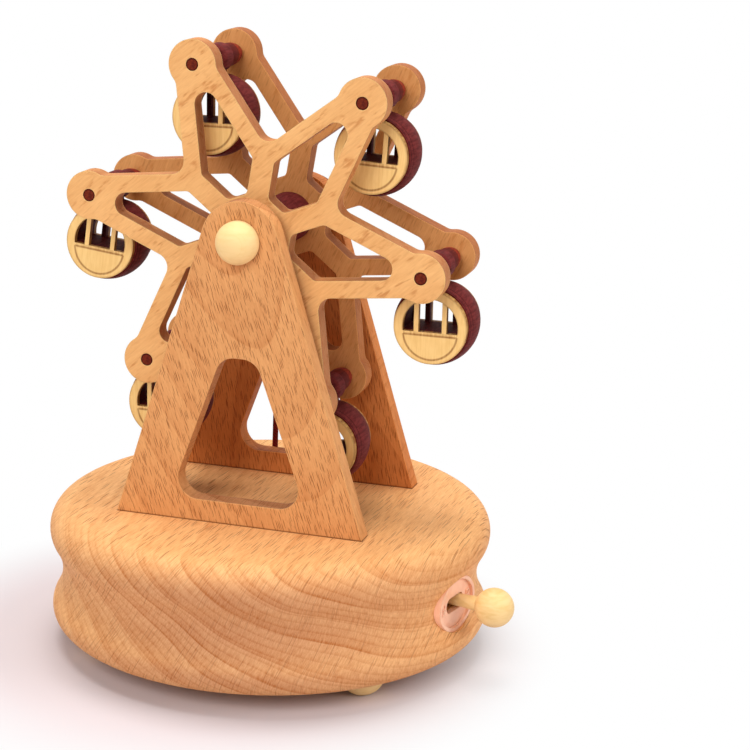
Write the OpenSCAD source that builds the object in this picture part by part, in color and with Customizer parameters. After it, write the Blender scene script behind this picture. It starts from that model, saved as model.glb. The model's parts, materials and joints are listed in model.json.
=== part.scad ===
// Wind-up wooden Ferris wheel music box: a turned base with a music movement inside,
// two A-shaped stands, and a six-gondola wheel that a belt turns while the movement plays.
// The origin lies on the axis of the base, on the surface that the feet stand on.
// The wheel's axle runs along Y, the front is at -Y, and the on/off switch is at +X.

/* [Base] */
// Diameter over the rounded top edge of the base
base_d = 116; // [110:0.5:124]
// Diameter over the lower bulge of the base
bulge_d = 115.2; // [110:0.2:122]
// Height of the turned base without its feet
base_h = 33; // [31:0.5:38]
// Radius of the rounded top edge
bead_r = 7; // [5:0.5:8]
// Radius of the lower bulge
bulge_r = 5; // [3.5:0.5:6.5]
// Radius of the hollow waist between the two
cove_r = 14; // [10:0.5:20]
// Diameter of the hollow that holds the movement
cavity_d = 72; // [70:0.5:74]
// Wood left above the hollow
top_wall = 6; // [5:0.25:7]

/* [Bottom cover and feet] */
// Thickness of the bottom cover
cover_t = 4; // [3:0.25:5]
// Width of the ledge that the cover seats on
cover_ledge = 5.5; // [5:0.25:6]
// Number of screws round the cover
cover_screws_n = 4; // [3:1:6]
// Diameter of the ball feet
foot_d = 12; // [9:0.5:13]
// Height that the feet lift the base
foot_h = 5; // [4.5:0.25:5.5]
// Diameter of the circle through the feet
foot_circle_d = 92; // [90:0.5:94]
// Angle of a foot from the X axis, in degrees
foot_angle = 40; // [25:1:60]
// Diameter of the glue pin on a foot
foot_pin_d = 4; // [3:0.5:4.5]
// Length of the glue pin on a foot
foot_pin_l = 6; // [4:0.5:10]

/* [Stands] */
// Thickness of a stand
stand_t = 5; // [4:0.25:6]
// Clear distance between the two stands
stand_gap = 40.2; // [40:0.1:44]
// Width of a stand where it meets the base
stand_w = 66.2; // [60:0.5:72]
// Radius of the rounded top of a stand
stand_top_r = 10; // [9.5:0.25:13]
// Height of the axle above the base
axle_h = 73.1; // [65:0.1:85]
// Height of the window's lower edge above the base
window_sill = 5.8; // [4.5:0.1:9]
// Height of the window
window_h = 37.8; // [30:0.2:44]
// Width of the window at its lower edge
window_w = 36.8; // [30:0.2:40]
// Width of the window at its upper edge
window_top_w = 9.2; // [8.5:0.2:12]
// Corner radius of the window at its lower edge
window_r = 5.3; // [2:0.1:7]
// Corner radius of the window at its upper edge
window_top_r = 5; // [2:0.1:5.5]
// Diameter of the dowels that hold a stand
stand_dowel_d = 3; // [2:0.25:3.5]
// Depth of a dowel in the base and in the stand
stand_dowel_depth = 4; // [3:0.25:4.5]
// Distance between the two dowels of a stand
stand_dowel_pitch = 51; // [46:0.5:54]

/* [Wheel] */
// Clear height under the lowest gondola
gondola_gap = 3.7; // [2:0.1:6]
// Thickness of a wheel frame
frame_t = 4.8; // [4:0.1:5.2]
// Clear distance between the two wheel frames
frame_gap = 24.2; // [22:0.1:25]
// Radius of the round lobe at the end of each arm
lobe_r = 6.2; // [5.6:0.1:7]
// Width of the slanted arms beside a lobe
arm_w = 4.35; // [3.5:0.05:5]
// Slant of the arms towards their lobe, in degrees
arm_slant = 14.5; // [12:0.5:16]
// Width of the six spokes
spoke_w = 5.6; // [4.6:0.1:6.4]
// Radius at which the windows stop short of the hub
frame_hub_r = 10.2; // [9:0.1:11.5]
// Radius of a window's round outer end
kite_tip_r = 3; // [2.5:0.1:3.4]
// Wood between a spindle's axis and its window
lobe_wood = 7.3; // [6.6:0.1:8]
// Radius of a window's two side corners
kite_side_r = 1.6; // [0.8:0.1:2.4]
// Radius of a window's two corners at the hub
kite_hub_r = 1.9; // [0.8:0.1:2.2]
// Radius of the hollow between two lobes
valley_r = 3.5; // [2:0.1:5]
// Radius of the hollow where an arm meets its lobe
neck_r = 3; // [1.5:0.1:4]
// Direction of the second spindle from +X towards +Z, in degrees
wheel_phase = 50.7; // [0:0.1:60]
// Diameter of the axle
axle_d = 6; // [5:0.1:7]
// Largest diameter of the hub spool
hub_d = 12.8; // [11:0.2:14]
// Diameter of the hub spool's waist
hub_waist_d = 10.4; // [9.6:0.2:10.8]
// Diameter of the collars beside the frames
collar_d = 9; // [8:0.2:12]
// Diameter of the domed cap on the front end of the axle
cap_d = 10.8; // [9:0.2:13]
// Height of the domed cap
cap_h = 6.2; // [5:0.1:8]
// Height of the straight part of the domed cap
cap_edge_h = 1.8; // [1:0.1:2.5]

/* [Gondolas] */
// Diameter of the gondola spindles
spindle_d = 3.2; // [2.6:0.1:3.6]
// Distance from a spindle down to the middle of its gondola
gondola_drop = 14.4; // [14.2:0.1:15.4]
// Largest diameter of a gondola drum
drum_d = 21.2; // [20.6:0.1:21.4]
// Diameter of the drum at its two ends
drum_end_d = 19.6; // [19.4:0.1:20.2]
// Width of a drum along the axle, with its two faces
drum_w = 13.6; // [11:0.1:15]
// Diameter of a drum's hollow upper half
drum_hollow_d = 15; // [13.9:0.1:15.6]
// Thickness of the wall behind the rear face
drum_wall_t = 1.6; // [1:0.1:2.4]
// Diameter of the pale gondola faces
face_d = 18.8; // [18:0.1:19.2]
// Thickness of the pale gondola faces
face_t = 1.5; // [1:0.1:2]
// Width of the ring round the windows of a face
face_ring_w = 2.3; // [2:0.1:2.8]
// Distance of the window sill below the middle of a face
sill_drop = 1.3; // [0:0.1:2]
// Width of the two window posts
post_w = 1.2; // [0.8:0.1:1.6]
// Distance between the two window posts
post_pitch = 7.2; // [5:0.1:9]
// Diameter of the eye that hangs on the spindle
eye_d = 7.4; // [6.8:0.1:7.8]
// Width of the eye along the spindle
eye_w = 6.6; // [6:0.1:11]
// Rounding of the eye's edges
eye_r = 1.5; // [0.5:0.1:1.6]
// Width of the neck between eye and drum
neck_d = 5; // [3.5:0.1:6]
// Diameter of the spacer beads
bead_d = 6; // [5:0.1:6.6]
// Angle at which each gondola hangs at rest, in degrees
gondola_swing = [0, 3, 0, 0, 0, 7];

/* [Belt drive] */
// Thickness of the round drive belt
belt_d = 1.6; // [1.2:0.1:1.8]
// Distance of the belt behind the middle of the wheel
belt_y = 28.1; // [27.9:0.1:28.3]
// Radius at which the belt runs on the wheel's pulley
driven_r = 7.8; // [7:0.1:8.4]
// Radius at which the belt runs on the movement's pulley
drive_r = 9.2; // [8.6:0.1:9.2]
// Width of both pulleys at the rim
pulley_w = 3.2; // [2.8:0.1:3.2]
// Height of the pulley flanges above the belt's middle
flange_h = 0.9; // [0.5:0.1:0.9]
// Diameter of the belt holes in the base
belt_hole_d = 4.4; // [4:0.1:6]

/* [Switch] */
// Direction of the switch from +X, in degrees
switch_angle = -12; // [-14:0.5:-10]
// Length of the oval switch plate
plate_l = 19; // [17:0.2:19.6]
// Height of the oval switch plate
plate_h = 14.4; // [12.6:0.2:15]
// Radius of the switch plate's two narrow ends
plate_end_r = 5; // [4:0.1:5.8]
// Thickness of the switch plate
plate_t = 2.2; // [1.8:0.1:2.6]
// Depth of the plate's face inside its rim
plate_recess = 0.8; // [0.4:0.1:1]
// Width of the plate's rim
plate_rim = 1; // [0.6:0.1:1.4]
// Distance from the base's waist in to the back of the plate
plate_inset = 1.2; // [1:0.1:1.5]
// Wood between the plate and the pocket behind it
switch_wall = 4; // [3:0.25:5]
// Length of the slot that the knob runs in
slot_l = 9.2; // [8:0.1:9.6]
// Diameter of the knob's stem
stem_d = 3.4; // [2.8:0.1:4]
// Diameter of the knob's ball
knob_d = 10; // [8:0.2:12]
// Distance from the base's waist out to the ball's middle
knob_reach = 10; // [9:0.1:12]

/* [Movement] */
// Thickness of the movement's bedplate
bed_t = 2; // [1.5:0.1:2.1]
// Height of the cylinder's axis above the bottom cover
cylinder_axis_h = 12.6; // [12.5:0.1:12.7]
// Diameter of the pinned cylinder
cylinder_d = 13; // [12:0.1:13.4]
// Length of the pinned cylinder
cylinder_l = 19; // [18:0.1:19.2]
// Number of notes, one comb tooth each
notes_n = 18; // [12:1:20]
// Height of the cylinder's pins
tune_pin_h = 0.4; // [0.2:0.05:0.5]
// Diameter of the cylinder's arbor
arbor_d = 2; // [1.6:0.1:2.4]
// Thickness of the comb
comb_t = 0.9; // [0.6:0.1:1.2]
// Diameter of the spring barrel
barrel_d = 24; // [23:0.1:24.4]
// Teeth on the barrel's crown wheel
crown_n = 32; // [32:1:32]
// Teeth on the cylinder's pinion
pinion_n = 10; // [10:1:10]
// Teeth on the cylinder's gear
cylinder_gear_n = 40; // [40:1:40]
// Teeth on the governor's pinion
governor_pinion_n = 12; // [12:1:12]
// Teeth on the governor's wheel
governor_wheel_n = 24; // [18:1:30]
// Outer diameter of the governor's fan
fan_d = 8.4; // [6:0.1:8.6]
// Diameter of the winding arbor
winding_d = 4; // [3.5:0.1:4.5]
// Length of the winding key's blade
key_l = 16; // [12:0.5:20]
// Width of the winding key's blade
key_w = 9; // [7:0.5:11]
// Thickness of the winding key's rim
key_t = 1.2; // [0.8:0.1:1.4]

/* [Clearances] */
// Radial play of a shaft that turns in its hole
running_fit = 0.05; // [0.02:0.01:0.09]
// Radial play of a pin or tenon that is glued in
glue_fit = 0.02; // [0.01:0.01:0.05]
// Gap between pieces that move past each other
travel_gap = 0.3; // [0.2:0.05:0.4]

/* [Hidden] */
$fn = 64;

// Colours
beech = [0.88, 0.65, 0.43];
light_beech = [0.93, 0.71, 0.43];
red_beech = [0.84, 0.59, 0.36];
pale_wood = [0.99, 0.90, 0.67];
ply_wood = [0.94, 0.82, 0.55];
maroon = [0.41, 0.18, 0.18];
dark_maroon = [0.31, 0.08, 0.08];
bead_red = [0.65, 0.20, 0.12];
pink_plastic = [0.94, 0.67, 0.55];
brass = [0.78, 0.63, 0.43];
steel = [0.70, 0.71, 0.73];
zinc = [0.58, 0.58, 0.60];

// Small overlap that makes a cut pass right through a face
cut_over = 0.5;

// Small step by which an arc passes the line or arc that it runs into
arc_step = 0.004;

// Levels of the base and its cover
base_z = foot_h;
base_top = base_z + base_h;
cover_top = base_z + cover_t;
cavity_top = base_top - top_wall;
cavity_r = cavity_d / 2;
rebate_r = cavity_r + cover_ledge;
cover_r = rebate_r - travel_gap;
axle_z = base_top + axle_h;

// Profile of the base: a bead, a hollow waist and a bulge that run into each other.
// The waist's middle lies at bead_r + cove_r from the bead's and bulge_r + cove_r from the bulge's.
bead_c = [base_d / 2 - bead_r, base_h - bead_r];
bulge_c = [bulge_d / 2 - bulge_r, bulge_r];
waist_span = norm(bulge_c - bead_c);
waist_dir = (bulge_c - bead_c) / waist_span;
bead_reach = bead_r + cove_r;
bulge_reach = bulge_r + cove_r;
waist_along = (bead_reach ^ 2 - bulge_reach ^ 2 + waist_span ^ 2) / (2 * waist_span);
waist_out = sqrt(bead_reach ^ 2 - waist_along ^ 2);
cove_c = bead_c + waist_along * waist_dir + waist_out * [-waist_dir.y, waist_dir.x];
waist_r = cove_c.x - cove_r;
waist_z = base_z + cove_c.y;

// Feet
foot_r = foot_d / 2;
foot_flat_r = 2;
foot_centre_z = sqrt(foot_r ^ 2 - foot_flat_r ^ 2);
foot_spots = [for (sx = [-1, 1], sy = [-1, 1])
    foot_circle_d / 2 * [sx * cos(foot_angle), sy * sin(foot_angle)]];

// Screws: shank, head and length, shared by the holes that take them
screw_d = 2.4;
screw_head_d = 4.6;
screw_head_h = 1.5;
screw_grip = 8;
cover_screw_r = cavity_r + cover_ledge / 2;
cover_screw_start = 8;
cover_screw_spots = [for (k = [0:cover_screws_n - 1])
    let (a = cover_screw_start + 360 * k / cover_screws_n) cover_screw_r * [cos(a), sin(a)]];

// Stands
stand_in = stand_gap / 2;
stand_out = stand_in + stand_t;
stand_dowel_spots = [for (sx = [-1, 1], sy = [-1, 1])
    [sx * stand_dowel_pitch / 2, sy * (stand_in + stand_t / 2)]];

// Wheel
lobes_n = 6;
lobe_step = 360 / lobes_n;
spindle_r = axle_h - gondola_drop - drum_d / 2 - gondola_gap;
frame_in = frame_gap / 2;
frame_out = frame_in + frame_t;
function spindle_angle(k) = wheel_phase - lobe_step * (k - 2);
function spindle_spot(k) = spindle_r * [cos(spindle_angle(k)), sin(spindle_angle(k))];

// One sixth of the frame, with its lobe on the +X axis.
// An arm's inner edge touches the round tip of the window and leans out by arm_slant.
kite_tip_c = spindle_r - lobe_wood - kite_tip_r;
arm_normal = [sin(arm_slant), cos(arm_slant)];
arm_along = [cos(arm_slant), -sin(arm_slant)];
arm_inner = kite_tip_r + arm_normal.x * kite_tip_c;
arm_outer = arm_inner + arm_w;
half_step = lobe_step / 2;
spoke_shift = spoke_w / 2 / cos(half_step);
kite_side_u = (arm_inner + arm_normal.y * spoke_shift)
    / (arm_normal.x + arm_normal.y * tan(half_step));
kite_side_v = kite_side_u * tan(half_step) - spoke_shift;
kite_hub_v = frame_hub_r * tan(half_step) - spoke_shift;
kite_end_u = arm_inner / arm_normal.x;
valley_u = arm_outer / (arm_normal.x + arm_normal.y * tan(half_step));
valley_v = valley_u * tan(half_step);
valley_half = half_step + arm_slant;
arm_end_v = (arm_outer - arm_normal.x * spindle_r) / arm_normal.y;
lobe_inset = arm_outer - arm_normal.x * spindle_r;
neck_back = sqrt((lobe_r + neck_r) ^ 2 - (lobe_inset + neck_r) ^ 2);

// Depth to which a fillet reaches into the wood beside it
fillet_root = 1;

// Gondola faces
face_r = face_d / 2;
drum_half = drum_w / 2;
body_half = drum_half - face_t;
drum_bulge = (drum_d - drum_end_d) / 2;
drum_arc_r = (body_half ^ 2 + drum_bulge ^ 2) / (2 * drum_bulge);
bead_curve = 1.6;

// Switch, in a frame whose X axis points out through the plate
plate_back = waist_r - plate_inset;
slot_w = stem_d + 2 * travel_gap;
switch_travel = slot_l - stem_d - 2 * travel_gap;
pocket_end = plate_back - switch_wall;
pocket_w = 21;
pocket_h = 14;
lever_disc_d = 7;
lever_disc_t = 1.4;
lever_w = 1.6;
lever_strip_t = 0.8;

// Movement
bed_top = cover_top + bed_t;
cylinder_z = cover_top + cylinder_axis_h;
pinion_pitch_r = 3.3;
pinion_tip_r = 3.9;
pinion_root_r = 2.5;
crown_r = pinion_pitch_r * crown_n / pinion_n;
crown_w = 2.2;
tooth_play = 0.2;
tooth_bottom_gap = 0.5;
crown_top = cylinder_z - pinion_root_r - tooth_play;
barrel_top = cylinder_z - pinion_tip_r - tooth_bottom_gap;
barrel_plate_t = 1;
barrel_wall_t = 1.2;
barrel_r = barrel_d / 2;
pinion_w = 2.9;
upright_t = 1.4;
upright_w = 6;
side_gap = 0.5;
pulley_room = 0.2;
barrel_y = -12.5;
pinion_y = barrel_y + crown_r - pinion_w / 2;
front_upright_y = max(pinion_y + pinion_w, barrel_y + barrel_r) + side_gap;
cylinder_y = front_upright_y + upright_t + side_gap;
gear_t = 1.2;
gear_y = cylinder_y + cylinder_l + travel_gap;
rear_upright_y = gear_y + gear_t + side_gap;
gear_module = 0.4;
gear_add = 0.36;
gear_ded = 0.52;
governor_x = gear_module * (cylinder_gear_n + governor_pinion_n) / 2;
governor_arbor_d = 1.2;
governor_wheel_r = 4.6;
governor_wheel_t = 1;
governor_wheel_y = rear_upright_y + upright_t + side_gap;
worm_d = 2.4;
fan_x = governor_x + governor_wheel_r + worm_d / 2 + travel_gap;
fan_y = governor_wheel_y + governor_wheel_t / 2;
fan_vane_h = 3.8;
fan_vane_t = 0.5;
fan_arm_t = 0.9;
fan_top = cavity_top - fan_arm_t - side_gap;
fan_post_d = 3;
fan_arm_w = 2.4;
fan_post_shift = [4.6, -4.4];
belt_span = axle_z - cylinder_z;
belt_lean = asin((drive_r - driven_r) / belt_span);
belt_run = sqrt(belt_span ^ 2 - (drive_r - driven_r) ^ 2);
belt_hole_x = drive_r - (base_top - top_wall / 2 - cylinder_z) * (drive_r - driven_r) / belt_span;
bed_boss_d = 5;
bed_boss_h = 3;
bed_screw_spots = [[-15, -15], [15, -15], [-15.5, 24.5]];
comb_pitch = 1;
comb_slot = 0.3;
comb_tip_x = -(cylinder_d / 2 + tune_pin_h + travel_gap);
comb_back_x = -21;
comb_root_x = -15;
comb_w = notes_n * comb_pitch;
comb_y = cylinder_y + (cylinder_l - comb_w) / 2;
comb_z = cylinder_z - comb_t / 2;
comb_screw_x = (comb_back_x + comb_root_x) / 2;
comb_screw_d = 2;
comb_screw_inset = 4;
comb_screw_ys = [comb_y + comb_screw_inset, comb_y + comb_w - comb_screw_inset];

// Winding arbor, its fork and the folding key
fork_d = 6;
fork_slot_top = 4.8;
key_axis_z = foot_h / 2;
key_pin_d = 1;
knuckle_r = 1.2;
knuckle_w = 2.2;
key_neck_l = fork_d / 2 + travel_gap;
key_floor_t = 0.7;
key_rim_w = 0.9;
key_hole_d = 8;

// An outline in the XZ plane, thickened along +Y from y0
module upright(y0, t)
{
    translate([0, y0 + t, 0])
        rotate([90, 0, 0])
            linear_extrude(t)
                children();
}

// A shape on the Z axis, laid along +Y from y0
module along_y(y0)
{
    translate([0, y0, 0])
        rotate([-90, 0, 0])
            children();
}

// A convex outline with each corner rounded by its own radius
module rounded_outline(points, radii)
{
    n = len(points);
    ins = [for (i = [0:n - 1]) let (d = points[(i + n - 1) % n] - points[i]) d / norm(d)];
    outs = [for (i = [0:n - 1]) let (d = points[(i + 1) % n] - points[i]) d / norm(d)];
    halves = [for (i = [0:n - 1]) acos(ins[i] * outs[i]) / 2];
    polygon([for (i = [0:n - 1], d = [ins[i], outs[i]]) points[i] + d * radii[i] / tan(halves[i])]);
    for (i = [0:n - 1])
    {
        bisector = (ins[i] + outs[i]) / norm(ins[i] + outs[i]);
        translate(points[i] + bisector * radii[i] / sin(halves[i]))
            circle(radii[i] + arc_step);
    }
}

// A slot with round ends along X
module slot_outline(l, w)
{
    square([l - w, w], center = true);
    for (s = [-1, 1])
        translate([s * (l - w) / 2, 0])
            circle(w / 2 + arc_step);
}

// An oval of four arcs that run into each other, long axis along X
module oval_outline(l, h, end_r)
{
    end_c = l / 2 - end_r;
    side_r = (end_c ^ 2 + (h / 2) ^ 2 - end_r ^ 2) / (h - 2 * end_r);
    join_x = end_c * side_r / (side_r - end_r);
    intersection()
    {
        translate([0, h / 2 - side_r])
            circle(side_r);
        translate([0, side_r - h / 2])
            circle(side_r);
        square([2 * join_x, 2 * h], center = true);
    }
    for (s = [-1, 1])
        translate([s * end_c, 0])
            circle(end_r + arc_step);
}

// A gear outline with straight-sided teeth; the shares of a half tooth leave play between the teeth
module gear_outline(n, tip_r, root_r)
{
    root_share = 0.95;
    tip_share = 0.42;
    root_half = root_share * 360 / n / 4;
    tip_half = tip_share * 360 / n / 4;
    polygon([for (k = [0:n - 1], p = [[root_r, -root_half], [tip_r, -tip_half],
                                     [tip_r, tip_half], [root_r, root_half]])
        let (a = 360 * k / n + p[1]) p[0] * [cos(a), sin(a)]]);
}

// A pan-head screw that points up, with its head's top face at z = 0
module screw(l, d = screw_d, head_d = screw_head_d, head_h = screw_head_h)
{
    rotate_extrude()
        difference()
        {
            union()
            {
                translate([0, -cut_over])
                    square([d / 2, l + cut_over]);
                intersection()
                {
                    translate([0, -head_h])
                        square([head_d / 2, head_h]);
                    translate([0, head_d ^ 2 / 8 / head_h - head_h / 2])
                        circle(head_d ^ 2 / 8 / head_h + head_h / 2);
                }
            }
            translate([-head_d, -head_h])
                square([head_d, l + head_h]);
        }
}

// Turned base: its outline revolved, then hollowed from below
module base_outline()
{
    polygon([[0, 0], [bulge_c.x, 0], bulge_c, bead_c, [bead_c.x, base_h], [0, base_h]]);
    translate(bead_c)
        circle(bead_r + arc_step);
    translate(bulge_c)
        circle(bulge_r + arc_step);
    difference()
    {
        polygon([bulge_c, cove_c, bead_c]);
        translate(cove_c)
            circle(cove_r);
    }
}

// What lies behind and inside the switch plate, cut out of the base
module switch_cuts()
{
    rotate([0, 0, switch_angle])
        translate([0, 0, waist_z])
        {
            translate([plate_back, 0, 0])
                rotate([90, 0, 90])
                    linear_extrude(base_d)
                        oval_outline(plate_l + 2 * glue_fit, plate_h + 2 * glue_fit,
                                     plate_end_r + glue_fit);
            translate([pocket_end - cut_over, 0, 0])
                rotate([90, 0, 90])
                    linear_extrude(base_d)
                        slot_outline(slot_l, slot_w);
            translate([0, -pocket_w / 2, -pocket_h / 2])
                cube([pocket_end, pocket_w, pocket_h]);
        }
}

module base_block()
{
    color(beech)
        difference()
        {
            translate([0, 0, base_z])
                rotate_extrude()
                    base_outline();
            translate([0, 0, base_z - cut_over])
                cylinder(r = rebate_r, h = cover_t + cut_over);
            translate([0, 0, base_z])
                cylinder(r = cavity_r, h = base_h - top_wall);
            translate([0, 0, cylinder_z])
                along_y(belt_y - pulley_w / 2 - travel_gap)
                    cylinder(r = drive_r + flange_h + pulley_room, h = pulley_w + 2 * travel_gap);
            switch_cuts();
            for (s = [-1, 1])
                translate([s * belt_hole_x, belt_y, cavity_top - cut_over])
                    cylinder(d = belt_hole_d, h = top_wall + 2 * cut_over);
            for (p = foot_spots)
                translate([p.x, p.y, base_z - cut_over])
                    cylinder(d = foot_pin_d + 2 * glue_fit, h = foot_pin_l + travel_gap + cut_over);
            for (p = stand_dowel_spots)
                translate([p.x, p.y, base_top - stand_dowel_depth - travel_gap])
                    cylinder(d = stand_dowel_d + 2 * glue_fit, h = stand_dowel_depth + base_h);
            for (p = cover_screw_spots)
                translate([p.x, p.y, cover_top - cut_over])
                    cylinder(d = screw_d + 2 * glue_fit, h = screw_grip + travel_gap + cut_over);
        }
}

module bottom_cover()
{
    color(beech)
        difference()
        {
            translate([0, 0, base_z])
                cylinder(r = cover_r, h = cover_t);
            translate([0, 0, base_z - cut_over])
            {
                for (p = concat(cover_screw_spots, bed_screw_spots))
                    translate(p)
                        cylinder(d = screw_d + 2 * running_fit, h = cover_t + 2 * cut_over);
                translate([0, barrel_y])
                    cylinder(d = key_hole_d, h = cover_t + 2 * cut_over);
            }
        }
}

module cover_screws()
{
    color(brass)
        for (p = cover_screw_spots)
            translate([p.x, p.y, base_z])
                screw(cover_t + screw_grip);
}

module ball_feet()
{
    color(pale_wood)
        for (p = foot_spots)
            translate(p)
            {
                intersection()
                {
                    translate([0, 0, foot_centre_z])
                        sphere(foot_r);
                    cylinder(r = foot_r, h = base_z);
                }
                translate([0, 0, base_z - cut_over])
                    cylinder(d = foot_pin_d, h = foot_pin_l + cut_over);
            }
}

// A-shaped stand: straight sides that touch the round top, and a window between the legs
module stand_outline()
{
    side = sqrt((stand_w / 2) ^ 2 + axle_h ^ 2);
    lean = atan2(stand_w / 2, axle_h) + acos(stand_top_r / side) - 90;
    touch = stand_top_r * [cos(lean), sin(lean)] + [0, axle_h];
    difference()
    {
        union()
        {
            polygon([[-stand_w / 2, 0], [stand_w / 2, 0], touch, [-touch.x, touch.y]]);
            translate([0, axle_h])
                circle(stand_top_r + arc_step);
        }
        rounded_outline([[-window_w / 2, window_sill], [window_w / 2, window_sill],
                         [window_top_w / 2, window_sill + window_h],
                         [-window_top_w / 2, window_sill + window_h]],
                        [window_r, window_r, window_top_r, window_top_r]);
        translate([0, axle_h])
            circle(d = axle_d + 2 * running_fit);
    }
}

module stand(y0)
{
    difference()
    {
        translate([0, 0, base_top])
            upright(y0, stand_t)
                stand_outline();
        for (p = stand_dowel_spots)
            translate([p.x, p.y, base_top - cut_over])
                cylinder(d = stand_dowel_d + 2 * glue_fit,
                         h = stand_dowel_depth + travel_gap + cut_over);
    }
}

module front_stand()
{
    color(red_beech)
        stand(-stand_out);
}

module rear_stand()
{
    color(red_beech)
        stand(stand_in);
}

module stand_dowels()
{
    color(pale_wood)
        for (p = stand_dowel_spots)
            translate([p.x, p.y, base_top - stand_dowel_depth])
                cylinder(d = stand_dowel_d, h = 2 * stand_dowel_depth);
}

// Oval plate with a raised rim round a recessed face and the knob's slot
module switch_plate()
{
    color(pink_plastic)
        rotate([0, 0, switch_angle])
            translate([plate_back, 0, waist_z])
                rotate([90, 0, 90])
                    difference()
                    {
                        linear_extrude(plate_t)
                            oval_outline(plate_l, plate_h, plate_end_r);
                        translate([0, 0, plate_t - plate_recess])
                            linear_extrude(plate_t)
                                oval_outline(plate_l - 2 * plate_rim, plate_h - 2 * plate_rim,
                                             plate_end_r - plate_rim);
                        translate([0, 0, -cut_over])
                            linear_extrude(plate_t + 2 * cut_over)
                                slot_outline(slot_l, slot_w);
                    }
}

// Places a piece of the switch at the slot's far end, where the knob rests
module at_switch()
{
    rotate([0, 0, switch_angle])
        translate([0, switch_travel / 2, waist_z])
            children();
}

// Ball on a stem that swells towards the ball; the stem passes the plate and the wall
module switch_knob()
{
    ball_x = waist_r + knob_reach;
    flare_d = 4.4;
    flare_start = plate_back + plate_t + travel_gap;
    stem_start = pocket_end - travel_gap - lever_disc_t;
    color(pale_wood)
        at_switch()
            rotate([0, 90, 0])
            {
                translate([0, 0, ball_x])
                    sphere(d = knob_d);
                translate([0, 0, stem_start])
                    cylinder(d = stem_d, h = ball_x - stem_start);
                translate([0, 0, flare_start])
                    cylinder(d1 = stem_d, d2 = flare_d, h = ball_x - flare_start);
            }
}

// Disc on the stem's inner end, with an arm, a riser and a strip that reaches to the governor's fan
module stop_lever()
{
    to_switch = [[cos(switch_angle), sin(switch_angle)], [-sin(switch_angle), cos(switch_angle)]];
    tip = to_switch * ([fan_x, fan_y] - [0, fan_d / 2 + lever_w / 2 + travel_gap])
        - [0, switch_travel / 2];
    strip_z = fan_top - travel_gap - fan_vane_h / 2 - waist_z;
    bend_x = cavity_r - lever_w - 2 * side_gap;
    strip = tip - [bend_x, 0];
    disc_x = pocket_end - travel_gap - lever_disc_t;
    color(steel)
        at_switch()
        {
            difference()
            {
                translate([disc_x - lever_w, 0, 0])
                    rotate([0, 90, 0])
                        cylinder(d = lever_disc_d, h = lever_disc_t + lever_w);
                translate([disc_x, 0, 0])
                    rotate([0, 90, 0])
                        cylinder(d = stem_d + 2 * glue_fit, h = base_d);
            }
            translate([bend_x, -lever_w / 2, -lever_w / 2])
                cube([disc_x - lever_w / 2 - bend_x, lever_w, lever_w]);
            translate([bend_x, 0, -lever_w / 2])
                cylinder(d = lever_w - 2 * travel_gap, h = strip_z + lever_w);
            translate([bend_x, 0, strip_z])
                linear_extrude(lever_strip_t)
                    rotate(atan2(strip.y, strip.x))
                        translate([norm(strip) / 2, 0])
                            slot_outline(norm(strip) + lever_w, lever_w);
        }
}

// Solid outline of a wheel frame before its windows are cut
module frame_star()
{
    polygon([for (k = [0:lobes_n - 1], p = [[valley_u, -valley_v], [spindle_r, -arm_end_v],
                                           [spindle_r, arm_end_v]])
        let (a = k * lobe_step) [p.x * cos(a) - p.y * sin(a), p.x * sin(a) + p.y * cos(a)]]);
    for (k = [0:lobes_n - 1])
        rotate(k * lobe_step)
        {
            translate([spindle_r, 0])
                circle(lobe_r);
            for (s = [0, 1])
                mirror([0, s])
                    neck_fillet();
            rotate(half_step)
                valley_fillet();
        }
}

// Fills the hollow between an arm's outer edge and its lobe
module neck_fillet()
{
    lobe_c = [spindle_r, 0];
    fillet_c = lobe_c + (lobe_inset + neck_r) * arm_normal - neck_back * arm_along;
    difference()
    {
        polygon([lobe_c, fillet_c, fillet_c - (neck_r + fillet_root) * arm_normal]);
        translate(fillet_c)
            circle(neck_r + arc_step);
    }
}

// Fills the hollow between two arms that meet on the +X axis
module valley_fillet()
{
    corner = norm([valley_u, valley_v]);
    centre_u = corner + valley_r / sin(valley_half);
    root = [centre_u, 0] + (valley_r + fillet_root) * [-sin(valley_half), cos(valley_half)];
    difference()
    {
        polygon([[corner - fillet_root, 0], [root.x, -root.y], [centre_u, 0], root]);
        translate([centre_u, 0])
            circle(valley_r + arc_step);
    }
}

// Kite-shaped window between two spokes and the arms of one lobe
module kite_window()
{
    rounded_outline([[frame_hub_r, -kite_hub_v], [kite_side_u, -kite_side_v], [kite_end_u, 0],
                     [kite_side_u, kite_side_v], [frame_hub_r, kite_hub_v]],
                    [kite_hub_r, kite_side_r, kite_tip_r, kite_side_r, kite_hub_r]);
}

module wheel_frame(y0)
{
    translate([0, 0, axle_z])
        upright(y0, frame_t)
            rotate(wheel_phase)
                difference()
                {
                    frame_star();
                    for (k = [0:lobes_n - 1])
                        rotate(k * lobe_step)
                        {
                            kite_window();
                            translate([spindle_r, 0])
                                circle(d = spindle_d + 2 * glue_fit);
                        }
                    circle(d = axle_d + 2 * glue_fit);
                }
}

module front_wheel_frame()
{
    color(light_beech)
        wheel_frame(-frame_out);
}

module rear_wheel_frame()
{
    color(light_beech)
        wheel_frame(frame_in);
}

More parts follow.
